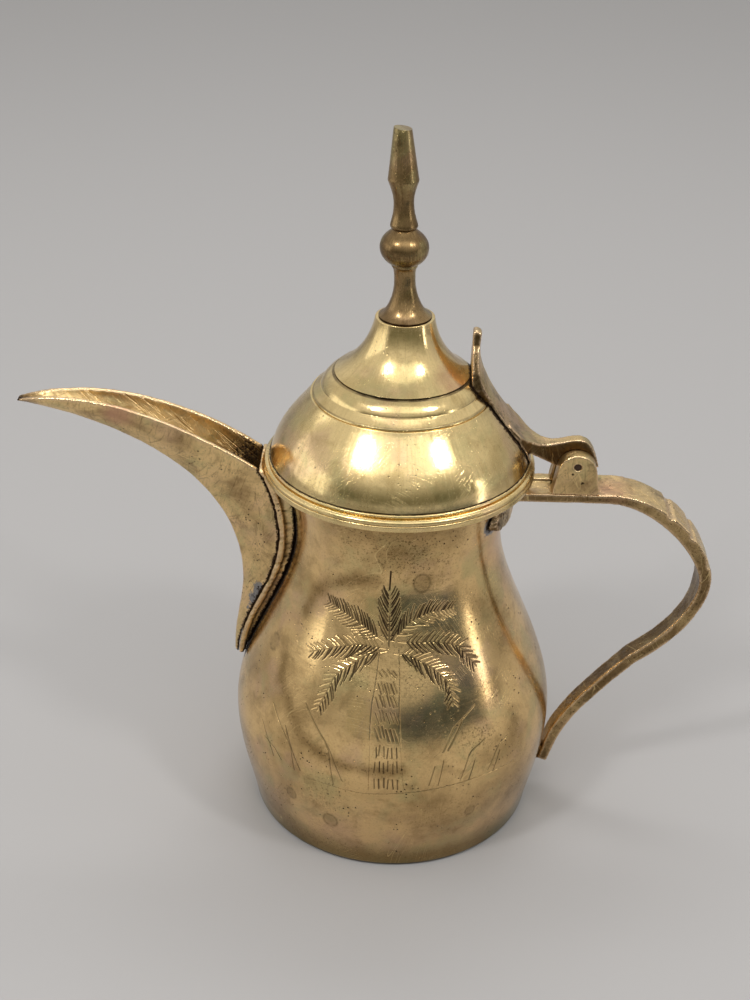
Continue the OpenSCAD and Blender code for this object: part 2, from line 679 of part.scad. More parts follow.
// Half width of the arm seen from above, narrowing from the leaf to the knuckle
arm_plan = [[arm_root_x - 8, leaf_half], [arm_root_x + 2, 0.93 * leaf_half], [arm_root_x + 5.7, 0.58 * leaf_half],
    [arm_root_x + 9.2, 0.38 * leaf_half], [pin_x - 8.6, 0.5 * knuckle_w + 0.25], [pin_x - 6.8, knuckle_w / 2],
    [pin_x + 2 * knuckle_r, knuckle_w / 2]];
arm_top_z = pin_z + knuckle_r;
tail_x = pin_x + 8.2;
// Side of the arm and knuckle
arm_side = concat(
    [[arm_root_x - 8, lerp(lid_top, lip_z, 0.3)], [arm_root_x - 2, lerp(lid_top, lip_z, 0.68)]],
    stretch([[arm_root_x - 2, lerp(lid_top, lip_z, 0.68)], [arm_root_x + 4, lerp(lid_top, lip_z, 0.35)],
        [arm_root_x + 8, arm_top_z + 0.1], [pin_x - 9, arm_top_z + 0.3]], 8),
    stretch([[pin_x - 9, arm_top_z + 0.3], [pin_x - 5, arm_top_z + 0.4],
        [pin_x - 3, arm_top_z + 1.9], [pin_x + 0.5, arm_top_z + 1.8]], 8),
    stretch([[pin_x + 0.5, arm_top_z + 1.8], [pin_x + 5.5, arm_top_z + 1.7],
        [pin_x + 6.8, pin_z], [tail_x, pin_z - 4.8]], 10),
    [[tail_x - 1.6, pin_z - 5.2]],
    arc(pin_x, pin_z, knuckle_r, -30, -140, 8),
    stretch([[pin_x + knuckle_r * cos(140), pin_z - knuckle_r * sin(40)], [pin_x - 9, pin_z - 1.2],
        [pin_x - 12.4, pin_z + 0.7], [dome_r - 1.7, lid_top + 4.7]], 8)
);

module lid_lever() {
    color(cast_brass)
    difference() {
        union() {
            intersection() {
                rotate_extrude() polygon(filled(concat(reversed(leaf_outer), [[tab_x + 0.55 * tab_t, tab_top]])));
                along_y(2 * leaf_w) polygon([[tab_x, lid_top], [rim_r, lid_top], [rim_r, tab_top + over],
                    [tab_x + 0.5 * tab_t, tab_top + over], [tab_x, tab_top - 0.6]]);
                along_x(0, rim_r) polygon(concat(leaf_front, [for (p = reversed(leaf_front)) [-p[0], p[1]]]));
            }
            intersection() {
                along_y(2 * leaf_w) polygon(arm_side);
                translate([0, 0, lid_z]) linear_extrude(tab_h)
                polygon(concat(arm_plan, [for (p = reversed(arm_plan)) [p[0], -p[1]]]));
            }
        }
        lid_envelope();
        translate([pin_x, strap_w, pin_z]) rotate([90, 0, 0]) cylinder(r = pin_d / 2 + pin_play, h = 2 * strap_w);
    }
}

body_belly();
body_neck();
base_disc();
mouth_rim();
spout();
spout_flange();
neck_saddle();
handle();
hinge_ear_front();
hinge_ear_back();
hinge_pin();
lid_rim();
lid_skirt();
lid_dome();
lid_shoulder();
lid_bell();
finial();
finial_stud();
finial_nut();
lid_lever();
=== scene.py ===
"""Builds the visible surfaces of a brass dallah coffee pot around its construction model."""

import json
import math

import bpy
import bmesh
import numpy as np
from bpy.props import FloatProperty, FloatVectorProperty, PointerProperty
from mathutils import Matrix, Vector
from mathutils.kdtree import KDTree


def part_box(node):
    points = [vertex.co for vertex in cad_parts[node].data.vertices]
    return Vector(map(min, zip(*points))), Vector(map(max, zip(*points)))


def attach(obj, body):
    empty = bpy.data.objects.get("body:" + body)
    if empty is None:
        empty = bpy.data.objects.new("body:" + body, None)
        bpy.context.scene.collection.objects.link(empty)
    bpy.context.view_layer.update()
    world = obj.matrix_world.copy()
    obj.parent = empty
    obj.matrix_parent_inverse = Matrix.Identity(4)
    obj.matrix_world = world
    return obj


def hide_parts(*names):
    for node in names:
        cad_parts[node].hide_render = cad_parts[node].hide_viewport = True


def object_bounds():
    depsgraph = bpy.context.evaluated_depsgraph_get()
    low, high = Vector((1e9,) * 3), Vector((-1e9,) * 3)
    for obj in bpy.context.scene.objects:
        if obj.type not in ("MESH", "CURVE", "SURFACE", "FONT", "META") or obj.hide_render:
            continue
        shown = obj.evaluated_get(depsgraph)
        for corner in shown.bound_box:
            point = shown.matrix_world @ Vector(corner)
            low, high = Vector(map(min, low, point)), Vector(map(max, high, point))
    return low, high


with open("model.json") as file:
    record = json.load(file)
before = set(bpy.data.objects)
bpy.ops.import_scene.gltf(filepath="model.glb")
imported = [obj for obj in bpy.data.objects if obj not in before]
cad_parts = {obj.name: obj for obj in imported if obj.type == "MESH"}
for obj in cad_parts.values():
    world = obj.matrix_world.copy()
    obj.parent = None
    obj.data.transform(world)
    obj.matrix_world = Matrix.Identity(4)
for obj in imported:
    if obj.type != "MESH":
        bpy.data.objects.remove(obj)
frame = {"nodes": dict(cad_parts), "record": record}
CAD_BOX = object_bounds()

bl_info = {
    "name": "Brass Dallah",
    "version": (1, 0, 0),
    "blender": (4, 5, 0),
    "location": "3D View > Sidebar > Dallah",
    "description": "Builds the surfaces and finishes of a brass coffee pot",
    "category": "Object",
}

MM = 0.001
# Millimetres that a recast piece keeps clear of the construction box
BOX_MARGIN = 0.01
SLOTS = {part["node"]: part["material_slot"] for part in frame["record"]["subparts"]}


# ---------------------------------------------------------------- sizes and colours to change

def length(name, description, default):
    return FloatProperty(name=name, description=description, default=default, unit="LENGTH")


def tint(name, description, default):
    return FloatVectorProperty(
        name=name, description="Colour of the " + description, subtype="COLOR", size=3, min=0, max=1,
        default=default,
    )


class DallahBody(bpy.types.PropertyGroup):
    """Sizes of the spun body and its engraving"""

    belly: length("Belly radius", "Radius of the belly at its widest ring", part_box("body_belly")[1].x)
    mouth: length("Mouth height", "Height of the flared mouth under its rim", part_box("body_neck")[1].z)
    wall: length("Wall", "Thickness of the spun wall", 0.0012)
    line_width: length("Line width", "Width of an engraved line", 0.00055)
    line_depth: length("Line depth", "Depth of an engraved line", 0.0002)


class DallahLid(bpy.types.PropertyGroup):
    """Sizes of the lid and finial"""

    dome_foot: length("Dome foot", "Radius of the dome's foot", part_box("lid_dome")[1].x)
    foot_height: length("Foot height", "Height of the dome's foot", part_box("lid_dome")[0].z)
    lip_height: length("Lip height", "Height of the dome's upper lip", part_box("lid_dome")[1].z)
    bell_foot: length("Bell foot", "Height of the bell's foot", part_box("lid_bell")[0].z)
    bell_top: length("Bell top", "Height of the bell's flat top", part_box("lid_bell")[1].z)
    finial_top: length("Finial top", "Height of the finial's tip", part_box("finial")[1].z)


class DallahCast(bpy.types.PropertyGroup):
    """How the cast and filed pieces are worn"""

    lump: length("Unevenness", "Height of the uneven places left by casting and filing", 0.00012)
    step_depth: length("Filed steps", "Depth of the steps filed across the handle", 0.0008)


class DallahColours(bpy.types.PropertyGroup):
    """Colours of the brass"""

    spun: tint("Body", "spun body", (0.86, 0.595, 0.27))
    spun_dark: tint("Body patina", "brown patina on the body", (0.3, 0.19, 0.075))
    lid: tint("Lid", "polished lid", (0.86, 0.65, 0.31))
    lid_dark: tint("Lid patina", "patina on the lid", (0.42, 0.3, 0.12))
    cast: tint("Castings", "cast spout, handle and hinge", (0.855, 0.61, 0.286))
    cast_dark: tint("Castings' patina", "patina on the castings", (0.24, 0.145, 0.06))
    # The finial's colours are darker than its brown patina alone: partly patina, partly painted shade
    # standing for the dark surroundings it reflects
    finial: tint("Finial", "browned finial", (0.34, 0.225, 0.1))
    finial_dark: tint("Finial's patina", "patina on the finial", (0.11, 0.065, 0.028))
    olive: tint("Green places", "places that have gone olive", (0.5, 0.44, 0.2))
    copper: tint("Pink places", "places that have gone pink", (0.62, 0.4, 0.26))
    # Near-black of grime, soot and pits, also used as painted shade in the gaps where pieces meet
    soot_and_gap_shade: tint("Grime", "grime in seams and grooves", (0.035, 0.02, 0.012))


# ---------------------------------------------------------------- curves

def mix(a, b, t):
    """A value the share t of the way from a to b."""
    return a + (b - a) * t


def unit(rows):
    """Vectors with their lengths made 1."""
    return rows / np.maximum(np.linalg.norm(rows, axis=-1, keepdims=True), 1e-9)


def cubic(p, t):
    """Points of a cubic stretch, or of one for each row of stretches."""
    return (p[..., 0, :] * (1 - t) ** 3 + 3 * p[..., 1, :] * t * (1 - t) ** 2
            + 3 * p[..., 2, :] * t * t * (1 - t) + p[..., 3, :] * t ** 3)


def bezier(points, count):
    """Evenly timed points along one cubic stretch."""
    return cubic(np.array(points, float), np.linspace(0.0, 1.0, count)[:, None])


def on_runs(runs, s):
    """Points on a chain of cubic stretches at stations s."""
    which = np.minimum(s.astype(int), len(runs) - 1)
    return cubic(np.array(runs, float)[which], (s - which)[:, None])


def soft_line(points, count):
    """A soft curve through a few points."""
    p = np.array(points, float)
    padded = np.vstack([2 * p[0] - p[1], p, 2 * p[-1] - p[-2]])
    out = []
    for t in np.linspace(0.0, len(p) - 1 - 1e-6, count):
        i = int(t)
        f = t - i
        a, b, c, d = padded[i:i + 4]
        bend = (2 * a - 5 * b + 4 * c - d) * f ** 2 + (3 * b - a - 3 * c + d) * f ** 3
        out.append(0.5 * (2 * b + (c - a) * f + bend))
    return np.array(out)


def smoothed(values, reach):
    """Values along an even run without their kinks."""
    window = np.hanning(2 * reach + 1)
    before = 2 * values[0] - values[reach:0:-1]
    after = 2 * values[-1] - values[-2:-reach - 2:-1]
    return np.convolve(np.concatenate([before, values, after]), window / window.sum(), "valid")


def run_length(points):
    """How far along a line each of its points lies."""
    return np.concatenate([[0.0], np.cumsum(np.linalg.norm(np.diff(points, axis=0), axis=1))])


def at_lengths(points, length, marks):
    """Points of a line at other distances along it."""
    return np.stack([np.interp(marks, length, points[:, k]) for k in range(2)], 1)


def along(points, count):
    """Evenly spaced points along a line."""
    p = np.array(points, float)
    length = run_length(p)
    return at_lengths(p, length, np.linspace(0.0, length[-1], count))


def join_runs(*runs):
    """One run of points without repeated points."""
    points = np.vstack([np.array(run, float) for run in runs])
    keep = np.ones(len(points), bool)
    keep[1:] = np.linalg.norm(np.diff(points, axis=0), axis=1) > 1e-6
    return points[keep]


def leftward(points):
    """The way to the left of a run at each of its points."""
    ahead = unit(np.gradient(points, axis=0))
    return np.stack([-ahead[:, 1], ahead[:, 0]], 1)


def sideways(points, distance):
    """The run moved to its left."""
    return points + distance * leftward(points)


def rounded(points, radius, steps=4, sharp=25.0):
    """A closed outline with its sharp corners rounded."""
    out = []
    count = len(points)
    for i, p in enumerate(points):
        a = points[i - 1] - p
        b = points[(i + 1) % count] - p
        la = np.linalg.norm(a)
        lb = np.linalg.norm(b)
        turn = 180.0 - math.degrees(math.acos(max(-1.0, min(1.0, float(a @ b) / (la * lb)))))
        if turn < sharp:
            out.append(p)
            continue
        back = min(radius, 0.45 * la, 0.45 * lb)
        start = p + a / la * back
        end = p + b / lb * back
        for k in range(steps + 1):
            t = k / steps
            out.append(start * (1 - t) ** 2 + 2 * p * t * (1 - t) + end * t * t)
    return np.array(out)


def around(r, turn, z):
    """Points at those radii and heights, turned from the front towards the handle."""
    return np.stack(np.broadcast_arrays(r * np.sin(turn), -r * np.cos(turn), z), -1)


def degrees_past(degrees, angle):
    """How far degrees lie past an angle, between -180 and 180."""
    return (degrees - angle + 180.0) % 360.0 - 180.0


# ---------------------------------------------------------------- meshes

def link(name, data):
    """A new object of that name in the scene."""
    obj = bpy.data.objects.new(name, data)
    bpy.context.scene.collection.objects.link(obj)
    return obj


def smooth(mesh):
    mesh.polygons.foreach_set("use_smooth", np.ones(len(mesh.polygons), bool))
    mesh.update()


def shade(obj, angle=35.0):
    """Smooth shading that stays sharp over hard edges."""
    smooth(obj.data)
    obj.data.set_sharp_from_angle(angle=math.radians(angle))
    obj.data.update()


def grid_object(name, points, loop_rows=False, caps=False, loop_columns=True):
    """A sheet of quads through a grid of points in millimetres."""
    rows, columns = points.shape[:2]
    i = np.arange(rows if loop_rows else rows - 1)
    j = np.arange(columns if loop_columns else columns - 1)
    ii, jj = np.meshgrid(i, j, indexing="ij")
    i2 = (ii + 1) % rows
    j2 = (jj + 1) % columns
    quads = np.stack([ii * columns + jj, ii * columns + j2, i2 * columns + j2, i2 * columns + jj], -1)
    faces = quads.reshape(-1, 4).tolist()
    if caps:
        faces.append(list(range(columns)))
        faces.append(list(range((rows - 1) * columns, rows * columns))[::-1])
    mesh = bpy.data.meshes.new(name)
    mesh.from_pydata((points.reshape(-1, 3) * MM).tolist(), [], faces)
    tidy = bmesh.new()
    tidy.from_mesh(mesh)
    bmesh.ops.recalc_face_normals(tidy, faces=tidy.faces)
    tidy.to_mesh(mesh)
    tidy.free()
    return link(name, mesh)


def turned_grid(outline, segments):
    """Points of an outline of [radius, height] turned round the pot's axis."""
    angle = np.linspace(0.0, 2 * math.pi, segments, endpoint=False)
    r = outline[:, :1]
    return np.stack([r * np.cos(angle), r * np.sin(angle), np.repeat(outline[:, 1:], segments, 1)], -1)


def leant(points):
    """Points moved along X by their height, as the finial and what carries it lean."""
    moved = points.copy()
    moved[..., 0] += np.interp(points[..., 2], *LEAN)
    return moved


def turned(name, outline, lean=False):
    """Turns a closed outline round the pot's axis."""
    points = turned_grid(outline, 288)
    obj = grid_object(name, leant(points) if lean else points, loop_rows=True)
    shade(obj)
    return obj


def read(items, key, width=1, kind=np.float32):
    """One value of every item of a mesh, as a table of that width."""
    values = np.empty(len(items) * width, kind)
    items.foreach_get(key, values)
    return values.reshape(-1, width)


def places(mesh):
    return read(mesh.vertices, "co", 3).astype(float)


def vertex_normals(mesh):
    return read(mesh.vertices, "normal", 3)


def set_places(mesh, co):
    mesh.vertices.foreach_set("co", co.astype(np.float32).ravel())
    mesh.update()


def meetings_of(mesh):
    """The edges of a mesh, and at how many of them each point lies."""
    edges = read(mesh.edges, "vertices", 2, np.int32)
    meetings = np.bincount(edges.ravel(), minlength=len(mesh.vertices))
    return edges, np.maximum(meetings, 1)[:, None].astype(float)


def neighbours_mean(values, edges, meetings):
    """Mean of each point's neighbours."""
    total = np.zeros_like(values)
    for k in range(values.shape[1]):
        for here, there in ((0, 1), (1, 0)):
            total[:, k] += np.bincount(edges[:, here], values[edges[:, there], k], len(values))
    return total / meetings


def lumps(co, size, seed):
    """Slow unevenness between -1 and 1, the same on each run."""
    dice = np.random.default_rng(seed)
    total = np.zeros(len(co))
    for _ in range(14):
        way = unit(dice.normal(size=3))
        pace = 2 * math.pi / (size * dice.uniform(0.5, 1.6))
        total += np.sin(co @ way * pace + dice.uniform(0, 6.28))
    return total / 5.0


def paint(obj, name, values):
    """Adds to what is painted on the points of a piece under that name."""
    layer = obj.data.attributes.get(name)
    if layer is None:
        layer = obj.data.attributes.new(name, "FLOAT", "POINT")
    before = read(layer.data, "value")[:, 0]
    layer.data.foreach_set("value", np.maximum(before, values).astype(np.float32))


def mark_wear(obj):
    """Paints how far edges stand out and how deep corners lie, for the finish."""
    mesh = obj.data
    co = places(mesh)
    edges, meetings = meetings_of(mesh)
    step = np.mean(np.linalg.norm(co[edges[:, 0]] - co[edges[:, 1]], axis=1))
    inward = neighbours_mean(co, edges, meetings) - co
    bend = -(inward * vertex_normals(mesh)).sum(1, keepdims=True) / step
    for _ in range(3):
        bend = 0.5 * bend + 0.5 * neighbours_mean(bend, edges, meetings)
    # Lighter worn metal on edges, which also serves as a painted highlight along the rounded edges
    paint(obj, "wear_and_edge_sheen", np.clip(bend[:, 0] * 12.0 - 0.15, 0, 1))
    paint(obj, "grime", np.clip(-bend[:, 0] * 9.0 - 0.1, 0, 1))


def apply_modifiers(obj):
    evaluated = obj.evaluated_get(bpy.context.evaluated_depsgraph_get())
    mesh = bpy.data.meshes.new_from_object(evaluated)
    obj.modifiers.clear()
    obj.data = mesh


# Castings: voxel, rounds of smoothing, share of the lumps' height, their size, and the seed of their places
CASTINGS = {
    "spout": (0.42, 3, 1.0, 9.0, 21),
    "strip": (0.34, 14, 2.2, 5.0, 5),
    "strap": (0.36, 3, 1.2, 7.0, 31),
    "saddle": (0.34, 5, 2.5, 4.0, 41),
    "ear": (0.26, 3, 1.0, 6.0, 51),
    "lever": (0.3, 3, 1.0, 7.0, 61),
}


def recast(obj, kind):
    """Gives a sharp mesh the rounded edges and uneven faces of a filed casting."""
    voxel, rounds, share, size, seed = CASTINGS[kind]
    lump = bpy.context.scene.dallah_cast.lump * share
    modifier = obj.modifiers.new("voxels", "REMESH")
    modifier.mode = "VOXEL"
    modifier.voxel_size = voxel * MM
    apply_modifiers(obj)
    mesh = obj.data
    co = places(mesh)
    edges, meetings = meetings_of(mesh)
    for _ in range(rounds):
        co = 0.45 * co + 0.55 * neighbours_mean(co, edges, meetings)
    set_places(mesh, co)
    height = lumps(co / MM, size, seed) * 0.7 + lumps(co / MM, size / 3.5, seed + 1) * 0.3
    co += vertex_normals(mesh) * (np.minimum(height, 0.2) * lump)[:, None]
    low, high = np.array(CAD_BOX)
    set_places(mesh, np.clip(co, low + BOX_MARGIN * MM, high - BOX_MARGIN * MM))
    mark_wear(obj)
    smooth(mesh)
    return obj


def copy_of(node, name):
    """A free copy of a construction piece, to be reshaped."""
    return link(name, frame["nodes"][node].data.copy())


def finish_piece(obj, look, body, slot, *nodes):
    """Gives a piece its finish, its body and the construction pieces it stands for."""
    obj.data.materials.clear()
    obj.data.materials.append(finish(look))
    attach(obj, body)
    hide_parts(*nodes)


# ---------------------------------------------------------------- finishes

class Tree:
    """A small helper that adds nodes to one material or world."""

    def __init__(self, owner):
        owner.use_nodes = True
        self.tree = owner.node_tree
        self.tree.nodes.clear()

    def add(self, kind, inputs=None, **settings):
        node = self.tree.nodes.new(kind)
        for key, value in settings.items():
            setattr(node, key, value)
        for key, value in (inputs or {}).items():
            socket = node.inputs[key]
            if isinstance(value, bpy.types.NodeSocket):
                self.tree.links.new(value, socket)
            else:
                socket.default_value = value
        return node

    def math(self, operation, *values, clamp=False):
        node = self.add("ShaderNodeMath", dict(enumerate(values)), operation=operation, use_clamp=clamp)
        return node.outputs[0]

    def times(self, a, b):
        return self.math("MULTIPLY", a, b)

    def plus(self, a, b):
        return self.math("ADD", a, b)

    def most(self, a, b):
        return self.math("MAXIMUM", a, b)

    def ramp(self, factor, low, high, to_low=0.0, to_high=1.0):
        node = self.add(
            "ShaderNodeMapRange",
            {"Value": factor, "From Min": low, "From Max": high, "To Min": to_low, "To Max": to_high},
            interpolation_type="SMOOTHSTEP",
        )
        return node.outputs["Result"]

    def blend(self, factor, a, b):
        node = self.add("ShaderNodeMix", data_type="RGBA", clamp_factor=True)
        for socket, value in ((node.inputs[0], factor), (node.inputs[6], a), (node.inputs[7], b)):
            if isinstance(value, bpy.types.NodeSocket):
                self.tree.links.new(value, socket)
            elif isinstance(value, (int, float)):
                socket.default_value = value
            else:
                socket.default_value = (*value[:3], 1.0)
        return node.outputs[2]

    def scaled(self, source, scale, turn=(0.0, 0.0, 0.0), shift=(0.0, 0.0, 0.0)):
        if any(turn):
            source = self.add("ShaderNodeMapping", {"Vector": source, "Rotation": turn}).outputs["Vector"]
        node = self.add("ShaderNodeMapping", {"Vector": source, "Scale": scale, "Location": shift})
        return node.outputs["Vector"]

    def shifted(self, source, *shift):
        return self.scaled(source, (1.0, 1.0, 1.0), shift=shift)

    def noise(self, source, scale, detail=3.0, roughness=0.5, distortion=0.0):
        node = self.add(
            "ShaderNodeTexNoise",
            {"Vector": source, "Scale": scale, "Detail": detail, "Roughness": roughness,
             "Distortion": distortion},
        )
        return node.outputs["Fac"]

    def attribute(self, name):
        return self.add("ShaderNodeAttribute", attribute_name=name).outputs["Fac"]


class Metal(Tree):
    """The colour, roughness and bumps of a metal while marks are laid over it one by one."""

    def __init__(self, owner):
        super().__init__(owner)
        self.place = self.add("ShaderNodeTexCoord")
        self.mm = self.scaled(self.place.outputs["Object"], (1000.0, 1000.0, 1000.0))
        split = self.add("ShaderNodeSeparateXYZ", {"Vector": self.mm})
        self.x, self.y, self.height = split.outputs
        self.blotch = self.noise(self.mm, 0.04, 4.0, 0.62, 0.5)
        self.patina = self.noise(self.shifted(self.mm, 31.0, 7.0, 53.0), 0.12, 6.0, 0.65, 0.3)
        self.speckle = self.noise(self.mm, 1.3, 4.0, 0.7)
        self.colour = None
        self.roughness = None
        self.bumps = None

    def broken(self, mask, low, high, least, most=1.0):
        """A mask made uneven by the patina."""
        return self.times(mask, self.ramp(self.patina, low, high, least, most))

    def lay(self, mask, share, colour, deep=0.0, dull=0.0):
        """Lays marks over the metal, with their colour, depth and dullness."""
        self.colour = self.blend(self.times(mask, share), self.colour, colour)
        if deep:
            self.bumps = self.math("SUBTRACT", self.bumps, self.times(mask, deep))
        if dull:
            self.roughness = self.plus(self.roughness, self.times(mask, dull))


SOLDER_GREY = (0.25, 0.235, 0.225)
RED_BLUSH = (0.5, 0.2, 0.1)
# Turns of the file's and the rasp's marks and of the scratches, in radians, with their shifts
FILE_TURNS = (((0.3, 0.5, 0.7), 3.0), ((-0.6, 0.2, -0.5), 17.0))
SCRATCH_TURNS = (((0.2, 0.9, 0.4), 5.0), ((1.1, -0.4, 0.8), 29.0))
RASP_TURN = (0.0, 0.83, 0.0)
# Streaks round the axis, as a pace and a shift
STREAK_PACES = ((9.0, 4.0), (30.0, 60.0))


def shade_of(colour, share):
    return [min(1.0, share * c) for c in colour]


def patches(t, warm, dark, olive, copper, pink_below, stained):
    """Slow patches of dark, pink and green over the warm brass, and of old polish at the foot, with a dark
    olive band at the foot that is partly grime and partly a painted reflection of the floor's shadow.
    """
    pinkness = t.noise(t.shifted(t.mm, 11.0, 83.0, 5.0), 0.055, 3.0, 0.55, 0.3)
    greenness = t.noise(t.shifted(t.mm, 71.0, 13.0, 5.0), 0.07, 4.0, 0.6, 0.4)
    t.colour = t.blend(t.times(t.ramp(t.blotch, 0.42, 0.72), stained), warm, dark)
    t.lay(t.ramp(pinkness, 0.5, 0.7), 0.5, copper)
    t.lay(t.ramp(greenness, 0.48, 0.68), 0.55, olive)
    if pink_below is not None:
        t.lay(t.broken(t.ramp(t.height, 4.0, pink_below, 1.0, 0.0), 0.3, 0.6, 0.3), 0.35, copper)
        # Dark olive towards the foot: partly grime, partly a painted reflection of the dark floor shadow
        # under the pot
        uneven = t.ramp(t.blotch, 0.35, 0.6, 0.8, 1.0)
        t.lay(t.ramp(t.height, 0.5, 14.0, 1.0, 0.0), uneven, shade_of(olive, 0.42))
    t.lay(t.ramp(t.patina, 0.5, 0.7), 0.75 * stained, dark)


def tarnish_over(t, dark, stained, sides, side_from):
    """Painted tarnish and painted dark reflections, brown unpolished sides, and the flecks in both."""
    much = t.broken(t.attribute("tarnish_and_dark_reflections"), 0.3, 0.6, 0.6)
    if sides > 0.0:
        facing = t.add("ShaderNodeSeparateXYZ", {"Vector": t.place.outputs["Normal"]})
        flat_side = t.ramp(t.math("ABSOLUTE", facing.outputs["Y"]), side_from, side_from + 0.35)
        much = t.most(much, t.times(flat_side, t.ramp(t.blotch, 0.3, 0.55, 0.6 * sides, sides)))
    t.lay(much, 1.0, dark)
    flecks = t.plus(t.plus(0.35 * stained, t.times(much, 0.8)), t.attribute("freckle"))
    flecks = t.math("MULTIPLY", t.ramp(t.speckle, 0.52, 0.66), flecks, clamp=True)
    t.lay(flecks, 1.0, shade_of(dark, 0.6))


def black_pits(t, pits):
    """Black pits of two sizes, gathered in patches."""
    strongest = 0.0
    for scale, near, far, crowd in (
        (0.55, 0.1, 0.22, t.ramp(t.noise(t.mm, 0.09, 2.0, 0.5), 0.5, 0.66)),
        (1.6, 0.08, 0.2, t.ramp(t.noise(t.shifted(t.mm, 3.0, 47.0, 21.0), 0.07, 3.0, 0.6), 0.54, 0.66)),
    ):
        cells = t.add("ShaderNodeTexVoronoi", {"Vector": t.mm, "Scale": scale, "Randomness": 1.0})
        pit = t.ramp(cells.outputs["Distance"], near, far, 1.0, 0.0)
        strongest = t.most(strongest, t.times(t.times(pit, crowd), pits))
    return strongest


def tool_marks(t, dark, spin, streaks, files, rasped):
    """What spinning, polishing, filing and rasping left."""
    if spin > 0.0:
        rings = t.noise(t.scaled(t.mm, (0.015, 0.015, 1.9)), 1.0, 5.0, 0.75)
        coarse = t.noise(t.scaled(t.mm, (0.01, 0.01, 0.35)), 1.0, 2.0, 0.5)
        t.lay(t.ramp(rings, 0.5, 0.75), 0.35 * spin, shade_of(dark, 0.75))
        t.roughness = t.plus(t.roughness, t.ramp(rings, 0.35, 0.65, -0.05 * spin, 0.07 * spin))
        t.bumps = t.plus(t.bumps, t.plus(t.times(rings, 0.02 * spin), t.times(coarse, 0.05 * spin)))
    if streaks > 0.0:
        turn = t.math("ARCTAN2", t.y, t.x)
        for pace, shift in STREAK_PACES:
            spots = {"X": t.times(turn, pace), "Y": t.times(t.height, 0.05), "Z": shift}
            fine = t.noise(t.add("ShaderNodeCombineXYZ", spots).outputs[0], 1.0, 3.0, 0.6)
            t.lay(t.ramp(fine, 0.5, 0.72), 0.4 * streaks, dark)
            t.roughness = t.plus(t.roughness, t.ramp(fine, 0.4, 0.65, -0.03 * streaks, 0.07 * streaks))
    if files > 0.0:
        for turn, shift in FILE_TURNS:
            lines = t.noise(t.scaled(t.mm, (0.12, 2.6, 0.12), turn, (shift, 0.0, 0.0)), 1.0, 2.0, 0.6)
            t.lay(t.ramp(lines, 0.58, 0.7), 0.4 * files, shade_of(dark, 0.7), 0.05 * files, 0.06 * files)
    if rasped > 0.0:
        lines = t.noise(t.scaled(t.mm, (0.9, 0.05, 0.05), RASP_TURN), 1.0, 3.0, 0.7)
        cuts = t.times(t.ramp(lines, 0.5, 0.66), t.attribute("inside"))
        t.lay(cuts, 0.45 * rasped, dark, 0.18 * rasped)


def scratches(t, warm):
    """Thin bright scratches in a few places."""
    for turn, shift in SCRATCH_TURNS:
        lines = t.noise(t.scaled(t.mm, (0.05, 1.4, 0.05), turn, (shift, shift, 0.0)), 1.0, 0.0)
        scratch = t.ramp(t.math("ABSOLUTE", t.math("SUBTRACT", lines, 0.5)), 0.0, 0.012, 1.0, 0.0)
        where = t.ramp(t.noise(t.shifted(t.mm, shift, 2.0, 9.0), 0.05, 1.0), 0.55, 0.62)
        t.lay(t.times(scratch, where), 0.5, shade_of(warm, 1.25), 0.03)


def seam_dirt(t, seams):
    """Grime in the grooves of a piece, and along seams at a few heights."""
    grime_and_gap_shade = t.broken(t.attribute("grime"), 0.25, 0.55, 0.5)
    for centre, half, much in seams:
        away = t.math("ABSOLUTE", t.math("SUBTRACT", t.height, centre))
        line = t.ramp(away, 0.35 * half, half, 1.0, 0.0)
        grime_and_gap_shade = t.most(grime_and_gap_shade, t.broken(line, 0.3, 0.6, 0.5 * much, much))
    return grime_and_gap_shade


